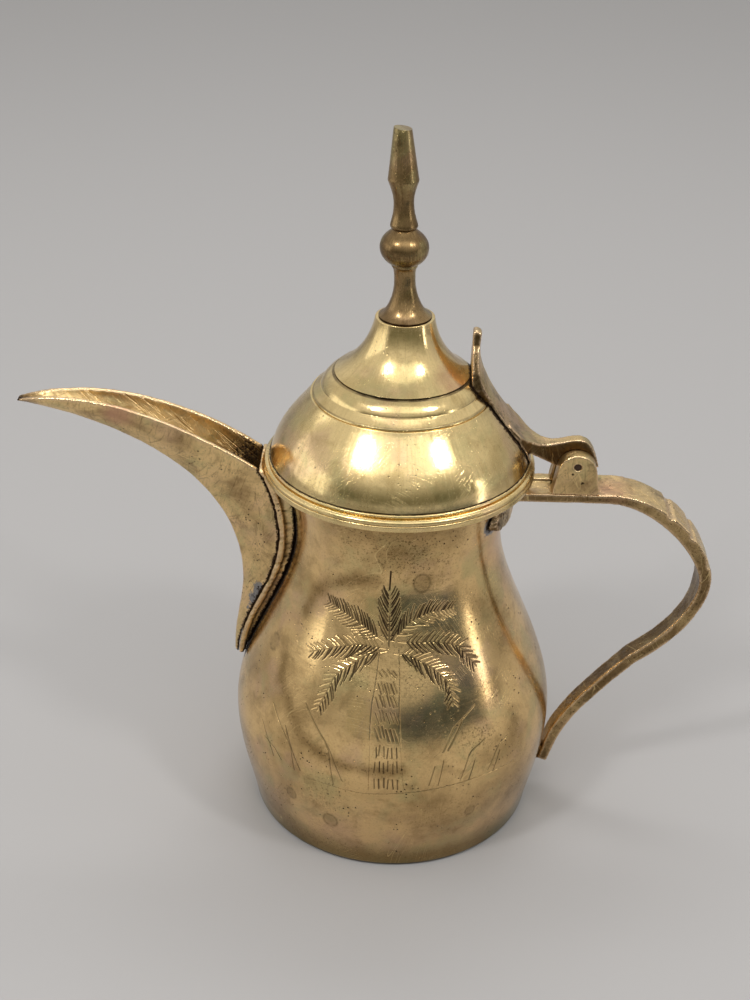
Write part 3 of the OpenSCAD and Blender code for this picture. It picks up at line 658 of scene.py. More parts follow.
def brass(name, warm, dark, olive, copper, soot_and_gap_shade, rough, spin=0.0, pits=0.4, files=0.0, glow=0.0,
          seams=(), pink_below=None, stained=0.6, lumpy=0.2, sides=0.0, side_from=0.55,
          streaks=0.0, rasped=0.0):
    """Aged brass with tints, stains, pits, scratches and the marks of spinning or filing."""
    material = bpy.data.materials.new(name)
    t = Metal(material)
    pit = black_pits(t, pits)
    uneven = t.ramp(t.speckle, 0.4, 0.7, -0.03, 0.06)
    t.roughness = t.plus(t.ramp(t.blotch, 0.3, 0.7, rough, rough + 0.1), uneven)
    t.bumps = t.math("SUBTRACT", t.times(t.blotch, lumpy), t.times(pit, 0.25))
    patches(t, warm, dark, olive, copper, pink_below, stained)
    tarnish_over(t, dark, stained, sides, side_from)
    tool_marks(t, dark, spin, streaks, files, rasped)
    scratches(t, warm)
    # Worn bare metal on edges, lighter; it also serves as a painted highlight along the rounded edges
    bare_and_edge_sheen = [min(1.0, 0.55 * c + 0.5 * k + 0.08) for c, k in zip(warm, copper)]
    worn_and_edge_sheen = t.times(t.attribute("wear_and_edge_sheen"), t.ramp(t.speckle, 0.3, 0.6, 0.4, 1.0))
    t.lay(worn_and_edge_sheen, 0.85, bare_and_edge_sheen, dull=-0.08)
    blush = [mix(c, k, 0.45) for c, k in zip(copper, RED_BLUSH)]
    t.lay(t.broken(t.attribute("blush"), 0.3, 0.6, 0.35, 0.8), 1.0, blush)
    solder = t.ramp(t.plus(t.attribute("solder"), t.ramp(t.speckle, 0.35, 0.65, -0.2, 0.15)), 0.4, 0.6)
    t.lay(solder, 1.0, SOLDER_GREY, dull=0.12)
    t.lay(t.attribute("stain"), 0.8, shade_of(dark, 0.5))
    # This near-black covers grime, soot, pits and engraving, and also the painted shade in gaps where pieces
    # meet
    ragged = t.plus(t.attribute("mark"), t.ramp(t.speckle, 0.35, 0.65, -0.35, 0.25))
    grime_and_gap_shade = t.most(seam_dirt(t, seams), t.most(t.ramp(ragged, 0.45, 0.75), t.attribute("cut")))
    t.lay(pit, 1.0, soot_and_gap_shade)
    t.lay(grime_and_gap_shade, 1.0, soot_and_gap_shade)
    roughness = t.math("ADD", t.roughness, t.times(t.most(grime_and_gap_shade, pit), 0.3), clamp=True)
    bump = t.add("ShaderNodeBump", {"Height": t.bumps, "Strength": 1.0, "Distance": MM * 0.5})
    shader = t.add("ShaderNodeBsdfPrincipled", {
        "Base Color": t.colour, "Metallic": 1.0, "Roughness": roughness, "Normal": bump.outputs["Normal"],
        "Anisotropic": glow,
    })
    if glow > 0.0:
        round_axis = t.add("ShaderNodeTangent", direction_type="RADIAL", axis="Z")
        t.tree.links.new(round_axis.outputs["Tangent"], shader.inputs["Tangent"])
    t.add("ShaderNodeOutputMaterial", {"Surface": shader.outputs[0]})
    return material


# The pin's own brown, dark, olive and copper
PIN_COLOURS = ((0.11, 0.065, 0.045), (0.05, 0.03, 0.025), (0.08, 0.055, 0.04), (0.14, 0.08, 0.055))
FINISHES = {}


def finish(name):
    """The finish of that name, made once."""
    if name not in FINISHES:
        FINISHES[name] = make_finish(name)
    return FINISHES[name]


def make_finish(name):
    """The metal of each piece. Seams are (height, half width, strength), in millimetres."""
    c = bpy.context.scene.dallah_colours
    lid = bpy.context.scene.dallah_lid
    foot_seam = (lid.foot_height / MM, 0.5, 0.9)
    lip_seam = (lid.lip_height / MM + 0.7, 0.35, 0.5)
    bell_seam = (lid.bell_foot / MM, 0.45, 0.95)
    top_seam = (lid.bell_top / MM + 0.1, 0.5, 1.0)
    spun = {"warm": c.spun, "dark": c.spun_dark}
    lid_metal = {"warm": c.lid, "dark": c.lid_dark, "glow": 0.3}
    cast = {"warm": c.cast, "dark": c.cast_dark, "pits": 1.0, "files": 0.8, "lumpy": 0.6}
    looks = {
        # The body's seam at 0.6 mm is a dark line at the foot: partly grime, partly a painted reflection of
        # the floor's contact shadow
        "spun_brass": dict(spun, rough=0.13, spin=0.45, pits=1.0, glow=0.15, pink_below=46.0, stained=0.65,
                           seams=((131.9, 0.7, 0.8), (0.6, 1.0, 0.8))),
        "lid_brass": dict(lid_metal, rough=0.13, spin=0.4, pits=0.45, stained=0.6, streaks=0.7,
                          seams=(foot_seam, lip_seam, bell_seam)),
        "turned_brass": dict(lid_metal, rough=0.2, spin=0.9, pits=0.3, stained=0.5, seams=(top_seam,)),
        # The finial's darkness is partly patina and partly painted shade for the dark surroundings it
        # reflects
        "finial_brass": dict(warm=c.finial, dark=c.finial_dark, rough=0.22, spin=0.5, pits=0.5, glow=0.3,
                             stained=1.0, lumpy=0.4, streaks=1.2, seams=(top_seam,)),
        "cast_brass": dict(cast, rough=0.3, files=1.0, stained=0.8, rasped=1.0),
        "dull_cast_brass": dict(cast, dark=shade_of(c.cast_dark, 0.6), rough=0.25, stained=0.85, sides=0.85,
                                side_from=0.4),
        "brown_cast_brass": dict(cast, warm=shade_of(c.cast, 0.8), dark=shade_of(c.cast_dark, 0.45),
                                 rough=0.27, stained=0.9, sides=1.0, side_from=0.25),
    }
    if name in looks:
        return brass(name, olive=c.olive, copper=c.copper, soot_and_gap_shade=c.soot_and_gap_shade, **looks[name])
    return brass(name, *PIN_COLOURS, c.soot_and_gap_shade, rough=0.45, pits=1.0, lumpy=0.6)


# ---------------------------------------------------------------- body

# Rings of the body, as radii and heights in millimetres
BASE_R = 50.2
FOOT_ROUND = 2.0
FOOT_FLAT_R = BASE_R - FOOT_ROUND - 2.4
BELLY_Z = 38.0
NECK_R = 35.4
NECK_Z = 110.0
MOUTH_R = 39.2


def body_side(mouth_z, belly_r):
    """Outside of the body from the foot's flat up to the mouth."""
    turn = np.radians(np.linspace(-90.0, 0.0, 9))
    edge = FOOT_ROUND * np.stack([np.cos(turn), 1.0 + np.sin(turn)], 1) + [BASE_R - FOOT_ROUND, 0.0]
    foot = [[BASE_R, FOOT_ROUND], [BASE_R + 2, 0.36 * BELLY_Z], [belly_r, 0.63 * BELLY_Z], [belly_r, BELLY_Z]]
    waist = [
        [belly_r, BELLY_Z], [belly_r, mix(BELLY_Z, NECK_Z, 0.333)],
        [NECK_R, mix(BELLY_Z, NECK_Z, 0.722)], [NECK_R, NECK_Z],
    ]
    neck = [
        [NECK_R, NECK_Z], [NECK_R, mix(NECK_Z, mouth_z, 0.37)],
        [mix(NECK_R, MOUTH_R, 0.48), mix(NECK_Z, mouth_z, 0.74)], [MOUTH_R, mouth_z],
    ]
    return join_runs([[FOOT_FLAT_R, 0.0]], edge, bezier(foot, 150), bezier(waist, 400), bezier(neck, 60))


# The engraving, as (degrees round from the front towards the handle, height) in millimetres
RIBS = (
    ((-5.0, 88.0), (-17.0, 92.8), (-28.5, 95.5), (-36.1, 96.6)),
    ((-1.0, 88.3), (7.5, 94.4), (17.7, 96.9), (30.9, 96.5)),
    ((-2.7, 85.7), (-14.8, 86.3), (-26.8, 83.5), (-39.0, 78.8)),
    ((1.8, 88.0), (19.6, 87.1), (30.2, 84.6), (37.1, 76.3)),
    ((-3.1, 85.1), (-12.4, 83.2), (-24.4, 75.3), (-29.4, 62.3)),
    ((0.1, 84.3), (7.2, 83.6), (16.7, 79.3), (23.8, 73.3), (23.9, 66.3)),
)
# Darkness of the leaflets on the two sides of each rib
RIB_TONES = ((1.0, 0.7), (0.4, 1.0), (0.35, 1.0), (1.0, 0.8), (0.35, 1.0), (1.0, 0.4))
RIB_STEPS = 60
CROWN_STEM = ((-2.3, 86.4), (-2.5, 94.9), (-2.8, 103.5))
SPIKE = ((-2.7, 111.6), (-3.1, 104.9))
TRUNK_LEFT = ((-6.3, 85.2), (-7.0, 75.3), (-8.1, 66.4), (-7.6, 53.3), (-7.5, 37.9))
TRUNK_RIGHT = ((2.3, 85.5), (2.9, 75.6), (2.7, 66.9), (3.3, 53.9), (4.6, 38.2))
# Rows of dashes up the trunk, as (height, length), and their two ends as heights and degrees
TRUNK_ROWS = (
    (78.0, 1.5), (73.6, 3.2), (69.0, 3.3), (64.3, 3.4), (59.1, 3.8), (53.2, 3.4), (47.5, 3.6), (41.0, 3.8),
)
ROWS_LEFT = ((37.9, 53.3, 66.4, 85.2), (-6.4, -6.2, -6.6, -5.2))
ROWS_RIGHT = ((38.2, 53.9, 66.9, 85.5), (3.4, 2.4, 1.9, 1.4))
SLANTED_ABOVE = 56.0
GROUND = (
    (-30.5, 36.7), (-24.9, 37.1), (-17.4, 36.7), (-8.9, 36.4), (0.7, 37.2), (8.9, 37.8), (17.2, 38.4),
    (25.3, 38.9), (34.2, 38.9), (41.5, 38.4), (48.8, 37.6),
)
GRASS = (
    ((-34.6, 62.8), (-22.8, 51.8), (-20.0, 37.6)), ((-28.6, 57.1), (-22.4, 51.2), (-16.7, 39.8)),
    ((-50.3, 56.8), (-38.1, 46.3), (-35.7, 37.7)), ((-41.8, 52.2), (-33.1, 38.6)),
    ((-54.2, 48.3), (-47.9, 41.4), (-46.1, 38.2)), ((-51.7, 43.3), (-45.6, 41.8), (-41.9, 38.8)),
    ((33.2, 64.5), (23.3, 59.2), (18.5, 51.9)), ((26.7, 60.4), (20.4, 52.2)),
    ((15.4, 47.0), (13.3, 39.9)), ((18.7, 49.0), (16.5, 39.4)), ((35.4, 52.5), (28.7, 49.6), (24.6, 39.5)),
    ((30.5, 46.0), (28.1, 39.3)), ((45.6, 49.6), (40.7, 47.6), (35.9, 40.1)), ((41.5, 45.7), (38.2, 38.7)),
)
# Millimetres to a degree at the middle of the engraving, and the least radius it is cut on
PER_DEGREE = NECK_R * 1.32 * math.pi / 180.0
LEAST_R = 34.0


def unrolled(points, count):
    """Evenly spaced points of an engraved line, in millimetres on the flat."""
    return along(np.array(points, float) * [PER_DEGREE, 1.0], count)


def engraved_strokes():
    """Every engraved stroke as (start, end, width, darkness), in degrees and height."""
    dice = np.random.default_rng(4)
    strokes = []

    def draw(points, width, dark):
        """Adds a line, with its width and darkness as shares."""
        marks = [np.array(p) / [PER_DEGREE, 1.0] for p in points]
        strokes.extend((a, b, width, dark) for a, b in zip(marks[:-1], marks[1:]))

    def leaflets(line, count, reach, lean, tones, first=0.08, gap=0.2, widest=0.35, narrowing=0.9):
        """Adds the leaflets on both sides of a rib, longest at the share called widest."""
        line = along(line, RIB_STEPS)
        for side, tone in zip((-1.0, 1.0), tones):
            for k in range(count):
                share = first + (1.0 - first) * (k + 0.5 + 0.15 * dice.uniform(-1, 1)) / count
                at = int(share * (RIB_STEPS - 2))
                ahead = unit(line[at + 1] - line[at])
                turn = side * math.radians(lean + dice.uniform(-3, 3))
                way = np.array([
                    ahead[0] * math.cos(turn) - ahead[1] * math.sin(turn),
                    ahead[0] * math.sin(turn) + ahead[1] * math.cos(turn),
                ])
                half = 0.5 * reach * (1.0 - narrowing * abs(share - widest) ** 1.3) * dice.uniform(0.88, 1.08)
                start = line[at] + way * gap
                # Each leaflet bends back a little towards the rib's own way
                middle = start + way * half
                end = middle + unit(way + 0.25 * ahead) * half
                much = tone * dice.uniform(0.8, 1.05)
                draw([start, middle], dice.uniform(0.95, 1.15), much)
                draw([middle, end], dice.uniform(0.6, 0.8), much)

    for rib, tones in zip(RIBS, RIB_TONES):
        line = unrolled(rib, 12)
        draw(line, 0.9, 0.25)
        leaflets(line, 17, 5.9, 43.0, tones)
    stem = unrolled(CROWN_STEM, 8)
    draw(stem[:5], 0.8, 0.7)
    leaflets(stem, 11, 8.2, 36.0, (1.0, 1.0), 0.02, 1.1, 0.2, 0.75)
    draw(unrolled(SPIKE, 4), 1.0, 1.0)
    draw(unrolled(TRUNK_LEFT, 12), 0.5, 0.2)
    draw(unrolled(TRUNK_RIGHT, 12), 0.5, 0.2)
    for height, tall in TRUNK_ROWS:
        left = np.interp(height, *ROWS_LEFT)
        right = np.interp(height, *ROWS_RIGHT)
        lean, tone = (0.6, 0.85) if height > SLANTED_ABOVE else (0.0, 1.0)
        for k in range(6):
            x = mix(left, right, (k + 0.5) / 6) * PER_DEGREE + dice.uniform(-0.15, 0.15)
            top = height + tall * 0.5 + dice.uniform(-0.6, 0.6)
            low = (x + lean + dice.uniform(-0.3, 0.3), top - tall)
            draw([(x - lean, top), low], dice.uniform(0.6, 1.0), dice.uniform(0.6, 1.0) * tone)
    draw(unrolled(GROUND, 30), 0.5, 0.4)
    for blade in GRASS:
        draw(unrolled(blade, 10), dice.uniform(0.5, 0.8), dice.uniform(0.4, 0.8))
    return strokes


def engraving(degrees, rows, width, depth):
    """Depth in millimetres and darkness of the engraving over the body's grid."""
    radii, heights = rows.T
    groove = np.zeros((len(rows), len(degrees)))
    dark = np.zeros_like(groove)
    for start, end, share, much in engraved_strokes():
        half = 0.5 * width * share
        reach = half * 1.35
        low, high = np.sort([start, end], axis=0) + np.outer([-1, 1], [math.degrees(reach / LEAST_R), reach])
        near = np.where((heights >= low[1]) & (heights <= high[1]))[0]
        columns = np.where((degrees >= low[0]) & (degrees <= high[0]))[0]
        if len(near) == 0 or len(columns) == 0:
            continue
        r = radii[near][:, None]
        u = np.radians(degrees[columns] - start[0])[None, :] * r
        v = heights[near][:, None] - start[1]
        du = math.radians(end[0] - start[0]) * r
        dv = end[1] - start[1]
        t = np.clip((u * du + v * dv) / np.maximum(du * du + dv * dv, 1e-9), 0, 1)
        away = np.hypot(u - t * du, v - t * dv)
        cut = np.clip(1.0 - (away / reach) ** 2, 0, 1) * depth * min(1.0, 0.6 + 0.4 * share)
        tone = np.clip(1.8 - away / (half * 0.8), 0, 1) * much
        block = np.ix_(near, columns)
        groove[block] = np.maximum(groove[block], cut)
        dark[block] = np.maximum(dark[block], tone)
    return groove, dark


# Round stains, as (degrees, height, radius)
SPOTS = ((14.0, 107.0, 3.0), (-62.0, 74.0, 2.6), (-38.0, 26.0, 2.2), (-22.0, 20.0, 2.8), (30.0, 24.0, 2.0))
# Brown patches, and arcs of painted dark reflection, each a line of (degrees, height) with its half width and
# strength
TARNISH_AND_DARK_REFLECTIONS = (
    (((-30.0, 127.0), (0.0, 125.0), (30.0, 127.0)), 8.0, 0.7),
    (((-6.0, 119.0), (12.0, 119.0)), 9.0, 0.75),
    # These two arcs on the left are partly tarnish and partly painted reflection: the edges of dark
    # reflections on the belly
    (((-48.0, 90.0), (-46.0, 97.0), (-37.0, 103.0), (-22.0, 107.0), (-10.0, 108.0)), 3.0, 0.95),
    (((-52.0, 72.0), (-50.0, 66.0), (-43.0, 60.0), (-32.0, 50.0), (-17.9, 46.0), (4.0, 46.0)), 2.6, 0.85),
    (((10.0, 88.0), (29.0, 84.0)), 7.0, 0.35),
    (((10.0, 62.0), (22.0, 62.0)), 8.0, 0.4),
    (((44.0, 96.0), (60.0, 90.0), (56.0, 80.0)), 6.0, 0.45),
    (((75.0, 100.0), (88.0, 80.0), (86.0, 65.0), (79.0, 48.0), (70.0, 33.0)), 6.0, 0.5),
    (((-70.0, 30.0), (-63.0, 12.0), (-38.0, 7.0), (-10.0, 4.0)), 6.0, 0.7),
    (((36.0, 46.0), (52.0, 47.0)), 5.0, 0.4),
    (((15.0, 26.0), (55.0, 24.0)), 9.0, 0.5),
    (((-30.0, 5.0), (0.0, 4.0), (40.0, 4.0)), 4.0, 0.8),
    (((-120.0, 90.0), (-140.0, 60.0), (-150.0, 30.0)), 9.0, 0.5),
    (((120.0, 110.0), (135.0, 80.0), (150.0, 70.0)), 8.0, 0.5),
    (((170.0, 40.0), (178.0, 20.0)), 10.0, 0.5),
)


def stains(degrees, rows):
    """Strength of the round stains over the body's grid."""
    out = np.zeros((len(rows), len(degrees)))
    for angle, height, size in SPOTS:
        u = np.radians(degrees_past(degrees, angle)) * rows[:, :1]
        away = np.hypot(u / size, (rows[:, 1:] - height) / (size * 1.15))
        ring = np.exp(-((away - 0.9) / 0.16) ** 2)
        out = np.maximum(out, np.maximum(ring * 0.8, 0.45 * np.clip(1.15 - away, 0, 1) ** 0.3 * (away < 1.0)))
    return out


def tarnish_and_dark_reflections(degrees, rows):
    """Strength of the brown patches and painted dark reflections over the body's grid."""
    flat = BASE_R * math.pi / 180.0 * 0.9
    out = np.zeros((len(rows), len(degrees)))
    for line, half, much in TARNISH_AND_DARK_REFLECTIONS:
        for (a0, z0), (a1, z1) in zip(line[:-1], line[1:]):
            du = (a1 - a0) * flat
            dv = z1 - z0
            u = degrees_past(degrees, a0)[None, :] * flat
            v = rows[:, 1:] - z0
            t = np.clip((u * du + v * dv) / (du * du + dv * dv), 0, 1)
            away = np.hypot(u - t * du, v - t * dv) / half
            out = np.maximum(out, much * np.exp(-away ** 2 * 1.2))
    return out


# Runs of the spout's seam, free edge and keel, in millimetres
SEAM_X = -(NECK_R + 4.6)
HEEL_X = -(NECK_R + 18.1)
ROOT_X = -(NECK_R + 11.4)
FOOT_Z = 55.0


def spout_lines(mouth_z, belly_r):
    """The spout's seam with its free edge, and its keel, each as cubic stretches of [x, height]."""
    side = body_side(mouth_z, belly_r)[12:]
    root_z = mouth_z + 1.9
    tip_z = mouth_z + 21.6
    tip_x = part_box("spout")[0].x / MM
    waist = NECK_Z - 2.0
    foot_x = -(np.interp(FOOT_Z, side[:, 1], side[:, 0]) + 2.2)
    foot = [foot_x, FOOT_Z]
    bend = [SEAM_X, waist]
    root = [ROOT_X, root_z]
    heel = [HEEL_X, NECK_Z - 22.0]
    edges = (
        [foot, [foot_x + 1.6, mix(FOOT_Z, waist, 0.42)], [SEAM_X, mix(FOOT_Z, waist, 0.66)], bend],
        [bend, [SEAM_X, mix(waist, root_z, 0.35)],
         [mix(SEAM_X, ROOT_X, 0.35), mix(waist, root_z, 0.75)], root],
        [root, [mix(ROOT_X, tip_x, 0.28), mix(root_z, tip_z, 0.765)],
         [mix(ROOT_X, tip_x, 0.66), mix(root_z, tip_z, 1.37)], [tip_x, tip_z]],
    )
    keels = (
        [[foot_x - 1.4, FOOT_Z + 0.8], [foot_x - 1.4, FOOT_Z + 14.0], [HEEL_X, heel[1] - 10.0], heel],
        [heel, [HEEL_X, heel[1] + 38.5], [mix(HEEL_X, tip_x, 0.5), tip_z - 7.2], [tip_x, tip_z - 1.0]],
    )
    return edges, keels


# The spout's greatest half width, and its share of that by station
SPOUT_HALF = 9.5
HALF_STATIONS = (0.0, 0.12, 0.25, 0.5, 0.75, 1.0, 2.0, 2.25, 2.5, 2.75, 2.9, 3.0)
HALF_SHARES = (0.12, 0.3, 0.5, 0.78, 0.93, 0.98, 1.0, 0.98, 0.8, 0.55, 0.38, 0.2)


def spout_half(s):
    """Half width of the spout at stations along its edge."""
    fine = np.linspace(0.0, 3.0, 601)
    return SPOUT_HALF * np.interp(s, fine, smoothed(np.interp(fine, HALF_STATIONS, HALF_SHARES), 14))


def cut_port(obj, edges):
    """Cuts the hole between the neck and the spout."""
    s = np.linspace(0.86, 1.75, 25)
    half = np.maximum(0.3, spout_half(s) - 3.3)
    z = on_runs(edges, s)[:, 1]
    ring = np.concatenate([np.stack([half, z], 1), np.stack([-half, z], 1)[::-1]])
    rows = np.stack([np.column_stack([np.full(len(ring), x), ring]) for x in (-70.0, -NECK_R / 2)])
    cutter = grid_object("port_cutter", rows, caps=True)
    modifier = obj.modifiers.new("cut", "BOOLEAN")
    modifier.operation = "DIFFERENCE"
    modifier.solver = "MANIFOLD"
    modifier.object = cutter
    apply_modifiers(obj)
    bpy.data.objects.remove(cutter)


# Heights and degrees between which the body is engraved, and the step of its grid there
ENGRAVED_Z = (34.0, 113.0)
ENGRAVED_TURN = (-56.0, 51.0)
FINE = 0.18
DENT_SIZE = 42.0
DENT_DEPTH = 0.12


def body_grid(side):
    """Rows of [radius, height] and degrees of the body's grid, fine where it is engraved."""
    length = run_length(side)
    start, stop = np.interp(ENGRAVED_Z, side[:, 1], length)
    marks = np.concatenate([
        np.linspace(0.0, 8.0, 22, endpoint=False), np.arange(8.0, start, 0.9),
        np.arange(start, stop, FINE), np.arange(stop, length[-1], 0.8), [length[-1]],
    ])
    near = np.arange(*ENGRAVED_TURN, math.degrees(FINE / 50.0))
    far = np.linspace(near[-1], near[0] + 360.0, 190)[1:-1]
    return at_lengths(side, length, marks), np.concatenate([near, far])


class DALLAH_OT_body(bpy.types.Operator):
    """Spin the body and engrave the palm tree, the grass and the ground line"""

    bl_idname = "dallah.body"
    bl_label = "Body"

    def execute(self, context):
        sizes = context.scene.dallah_body
        mouth_z = sizes.mouth / MM
        belly_r = sizes.belly / MM
        wall = sizes.wall / MM
        side = body_side(mouth_z, belly_r)
        rows, degrees = body_grid(side)
        groove, dark = engraving(degrees, rows, sizes.line_width / MM, sizes.line_depth / MM)
        left = leftward(rows)
        r = rows[:, :1] + groove * left[:, :1]
        z = rows[:, 1:] + groove * left[:, 1:]
        turn = np.radians(degrees)
        # Shallow dents and unevenness from long use
        dents = lumps(around(r, turn, z).reshape(-1, 3), DENT_SIZE, 9).reshape(r.shape)
        fade = np.clip((z - 4.0) / 12.0, 0, 1) * np.clip((mouth_z - 3.0 - z) / 12.0, 0, 1)
        outer = around(r - DENT_DEPTH * np.clip(dents + 1.0, 0, 2) * fade, turn, z)
        inner = sideways(side, wall)[::-6]
        inner = inner[inner[:, 1] > wall + 0.05]
        inner = np.vstack([[MOUTH_R - wall, mouth_z], inner, [FOOT_FLAT_R, wall]])
        back = around(inner[:, :1], turn, inner[:, 1:])
        obj = grid_object("body", np.concatenate([outer, back]), loop_rows=True)
        blank = np.zeros(back.shape[:2])
        painted = {"cut": dark, "stain": stains(degrees, rows), "tarnish_and_dark_reflections": tarnish_and_dark_reflections(degrees, rows)}
        for name, values in painted.items():
            paint(obj, name, np.concatenate([values, blank]).ravel())
        cut_port(obj, spout_lines(mouth_z, belly_r)[0])
        shade(obj, 50.0)
        finish_piece(obj, "spun_brass", "pot", "spun_brass", "body_belly", "body_neck")
        low, high = [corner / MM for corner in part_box("mouth_rim")]
        inside = MOUTH_R - wall
        outline = np.array([[inside, low.z], [high.x, low.z], [high.x, high.z], [inside, high.z]])
        rim = turned("rim_on_mouth", rounded(outline, 0.5))
        finish_piece(rim, "turned_brass", "pot", "turned_brass", "mouth_rim")
        return {"FINISHED"}


# ---------------------------------------------------------------- spout

# Cross-section of the channel, from its near edge round the keel, as (share of half width, share of depth)
SECTION = ((-1.0, 0.0), (-0.93, 0.22), (-0.72, 0.52), (-0.42, 0.8), (-0.16, 1.0))
SPOUT_WALL = 1.8


def spout_mesh(mouth_z, belly_r):
    """The open channel, lofted between its edge and its keel."""
    edges, keels = spout_lines(mouth_z, belly_r)
    stations = np.linspace(0.0, 3.0, 220)
    pace = np.interp(stations, [0, 0.5, 1, 2, 2.25, 3], [0, 0.75, 1.1, 1.35, 1.5, 2])
    left = soft_line(SECTION, 22)
    rings = []
    for e, k, h in zip(on_runs(edges, stations), on_runs(keels, smoothed(pace, 8)), spout_half(stations)):
        wall = min(SPOUT_WALL, 0.45 * h)
        floor = max(0.3, 1.0 - SPOUT_WALL / np.linalg.norm(k - e))
        outer = np.concatenate([left, left[::-1] * [-1, 1]]) * [h, 1.0]
        inner_left = np.stack([np.minimum(left[:, 0] * h + wall, -0.06 * h), left[:, 1] * floor], 1)
        inner = np.concatenate([inner_left, inner_left[::-1] * [-1, 1]])[::-1]
        ring = np.concatenate([outer, inner])
        centre = e + (k - e) * ring[:, 1:]
        rings.append(np.column_stack([centre[:, 0], ring[:, 0], centre[:, 1]]))
    return grid_object("spout_casting", np.array(rings), caps=True)


class DALLAH_OT_spout(bpy.types.Operator):
    """Cast the open crescent spout and the strip that holds it on the body"""

    bl_idname = "dallah.spout"
    bl_label = "Spout"

    def execute(self, context):
        sizes = context.scene.dallah_body
        spout = recast(spout_mesh(sizes.mouth / MM, sizes.belly / MM), "spout")
        inward = -vertex_normals(spout.data)[:, 1] * np.sign(places(spout.data)[:, 1])
        paint(spout, "inside", np.clip(3.0 * inward - 0.3, 0, 1))
        finish_piece(spout, "cast_brass", "pot", "cast_brass", "spout")
        strip = recast(copy_of("spout_flange", "spout_strip"), "strip")
        finish_piece(strip, "cast_brass", "pot", "cast_brass", "spout_flange")
        return {"FINISHED"}


# ---------------------------------------------------------------- handle

# The strap's middle line in millimetres: its flat end, the grip, the knee and the foot
FLAT_START = 39.05
FLAT_END = 69.9
FLAT_STEPS = 62
STRAP_TOP = 126.6
STRAP_T = 3.4
GRIP = (106.6, 92.0)
KNEE = (84.65, 58.0)
KNEE_WAY = (0.685, 0.7286)
STRAP_FOOT = (55.9, 12.0)
HANDLE_MIDDLE = (70.0, 0.0, 85.0)
# Half thickness by station, and half width by height
STRAP_THICK = ((0, 1.7), (1, 1.7), (7, 2.5), (11, 2.5), (15, 2.05), (20, 2.1), (34, 2.1), (39, 1.7))
STRAP_WIDE = ((5.0, 3.4), (56.0, 3.7), (79.0, 4.2), (90.0, 6.2), (99.0, 7.45), (107.0, 7.7), (132.0, 7.7))
FILED_STEPS = ((92.4, 119.1), (100.5, 111.5), (107.8, 100.2))
# A shallow channel runs along the flat end under the hinge
CHANNEL_X = (41.0, 66.9)
CHANNEL_HALF = 0.43
CHANNEL_DEEP = 0.9


def strap_line():
    """Middle line of the strap as [x, height], and the station of each of its points."""
    middle = STRAP_TOP - STRAP_T / 2
    knee = np.array(KNEE)
    way = np.array(KNEE_WAY)
    fall = 0.77 * np.linalg.norm(knee - STRAP_FOOT)
    runs = (
        [[FLAT_END, middle], [mix(FLAT_END, GRIP[0], 0.49), middle + 0.7],
         [GRIP[0], mix(GRIP[1], middle, 0.395)], GRIP],
        [GRIP, [GRIP[0], mix(KNEE[1], GRIP[1], 0.42)], knee + 2 * way, knee],
        [knee, knee - fall * way, [STRAP_FOOT[0] + 3.4, mix(STRAP_FOOT[1], KNEE[1], 0.2)], STRAP_FOOT],
    )
    flat = np.linspace([FLAT_START, middle], [FLAT_END, middle], FLAT_STEPS, endpoint=False)
    s = np.linspace(0.0, 3.0, 330)
    station = np.interp(s, [0, 1, 2, 3], [1, 15, 27, 39])
    station = np.concatenate([np.linspace(0, 1, FLAT_STEPS, endpoint=False), station])
    return np.concatenate([flat, on_runs(runs, s)]), station


def strap_mesh(step_depth):
    """The strap swept along its middle line, with the steps filed across the grip."""
    line, station = strap_line()
    thick = smoothed(np.interp(station, *zip(*STRAP_THICK)), 12)
    wide = smoothed(np.interp(line[:, 1], *zip(*STRAP_WIDE)), 10)
    out_way = leftward(line)
    out_way[:FLAT_STEPS - 2] = [0, 1]
    right = np.concatenate([[0.42, 0.435], np.linspace(0.47, 1, 10)])
    across = np.concatenate([-right[::-1], np.linspace(-0.36, 0.36, 9), right])
    rings = []
    for p, o, t, w in zip(line, out_way, thick, wide):
        lift = t - 0.16 * across ** 2
        for step in FILED_STEPS:
            away = np.linalg.norm(p + o * t - step)
            lift -= step_depth * math.exp(-(away / 1.4) ** 6)
        if CHANNEL_X[0] < p[0] < CHANNEL_X[1] and o[1] > 0.9:
            lift -= CHANNEL_DEEP * (np.abs(across) < CHANNEL_HALF)
        top = p + o * lift[:, None]
        low = p - o * np.full((len(across), 1), t)
        rings.append(np.concatenate([
            np.column_stack([top[:, 0], across * w, top[:, 1]]),
            np.column_stack([low[:, 0], across * w * 0.97, low[:, 1]])[::-1],
        ]))
    return grid_object("strap_handle", np.array(rings), caps=True)


def add_solder(strap):
    """Adds the lump of solder between the strap's foot and the body."""
    outline = [[51.8, 11.8], [56.2, 11.9], [57.2, 17.5], [53.2, 17.5]]
    rows = np.array([[[x, y, z] for x, z in outline] for y in (-2.5, 2.5)])
    lump = grid_object("solder", rows, caps=True)
    joined = bmesh.new()
    joined.from_mesh(strap.data)
    joined.from_mesh(lump.data)
    joined.to_mesh(strap.data)
    joined.free()
    bpy.data.objects.remove(lump)


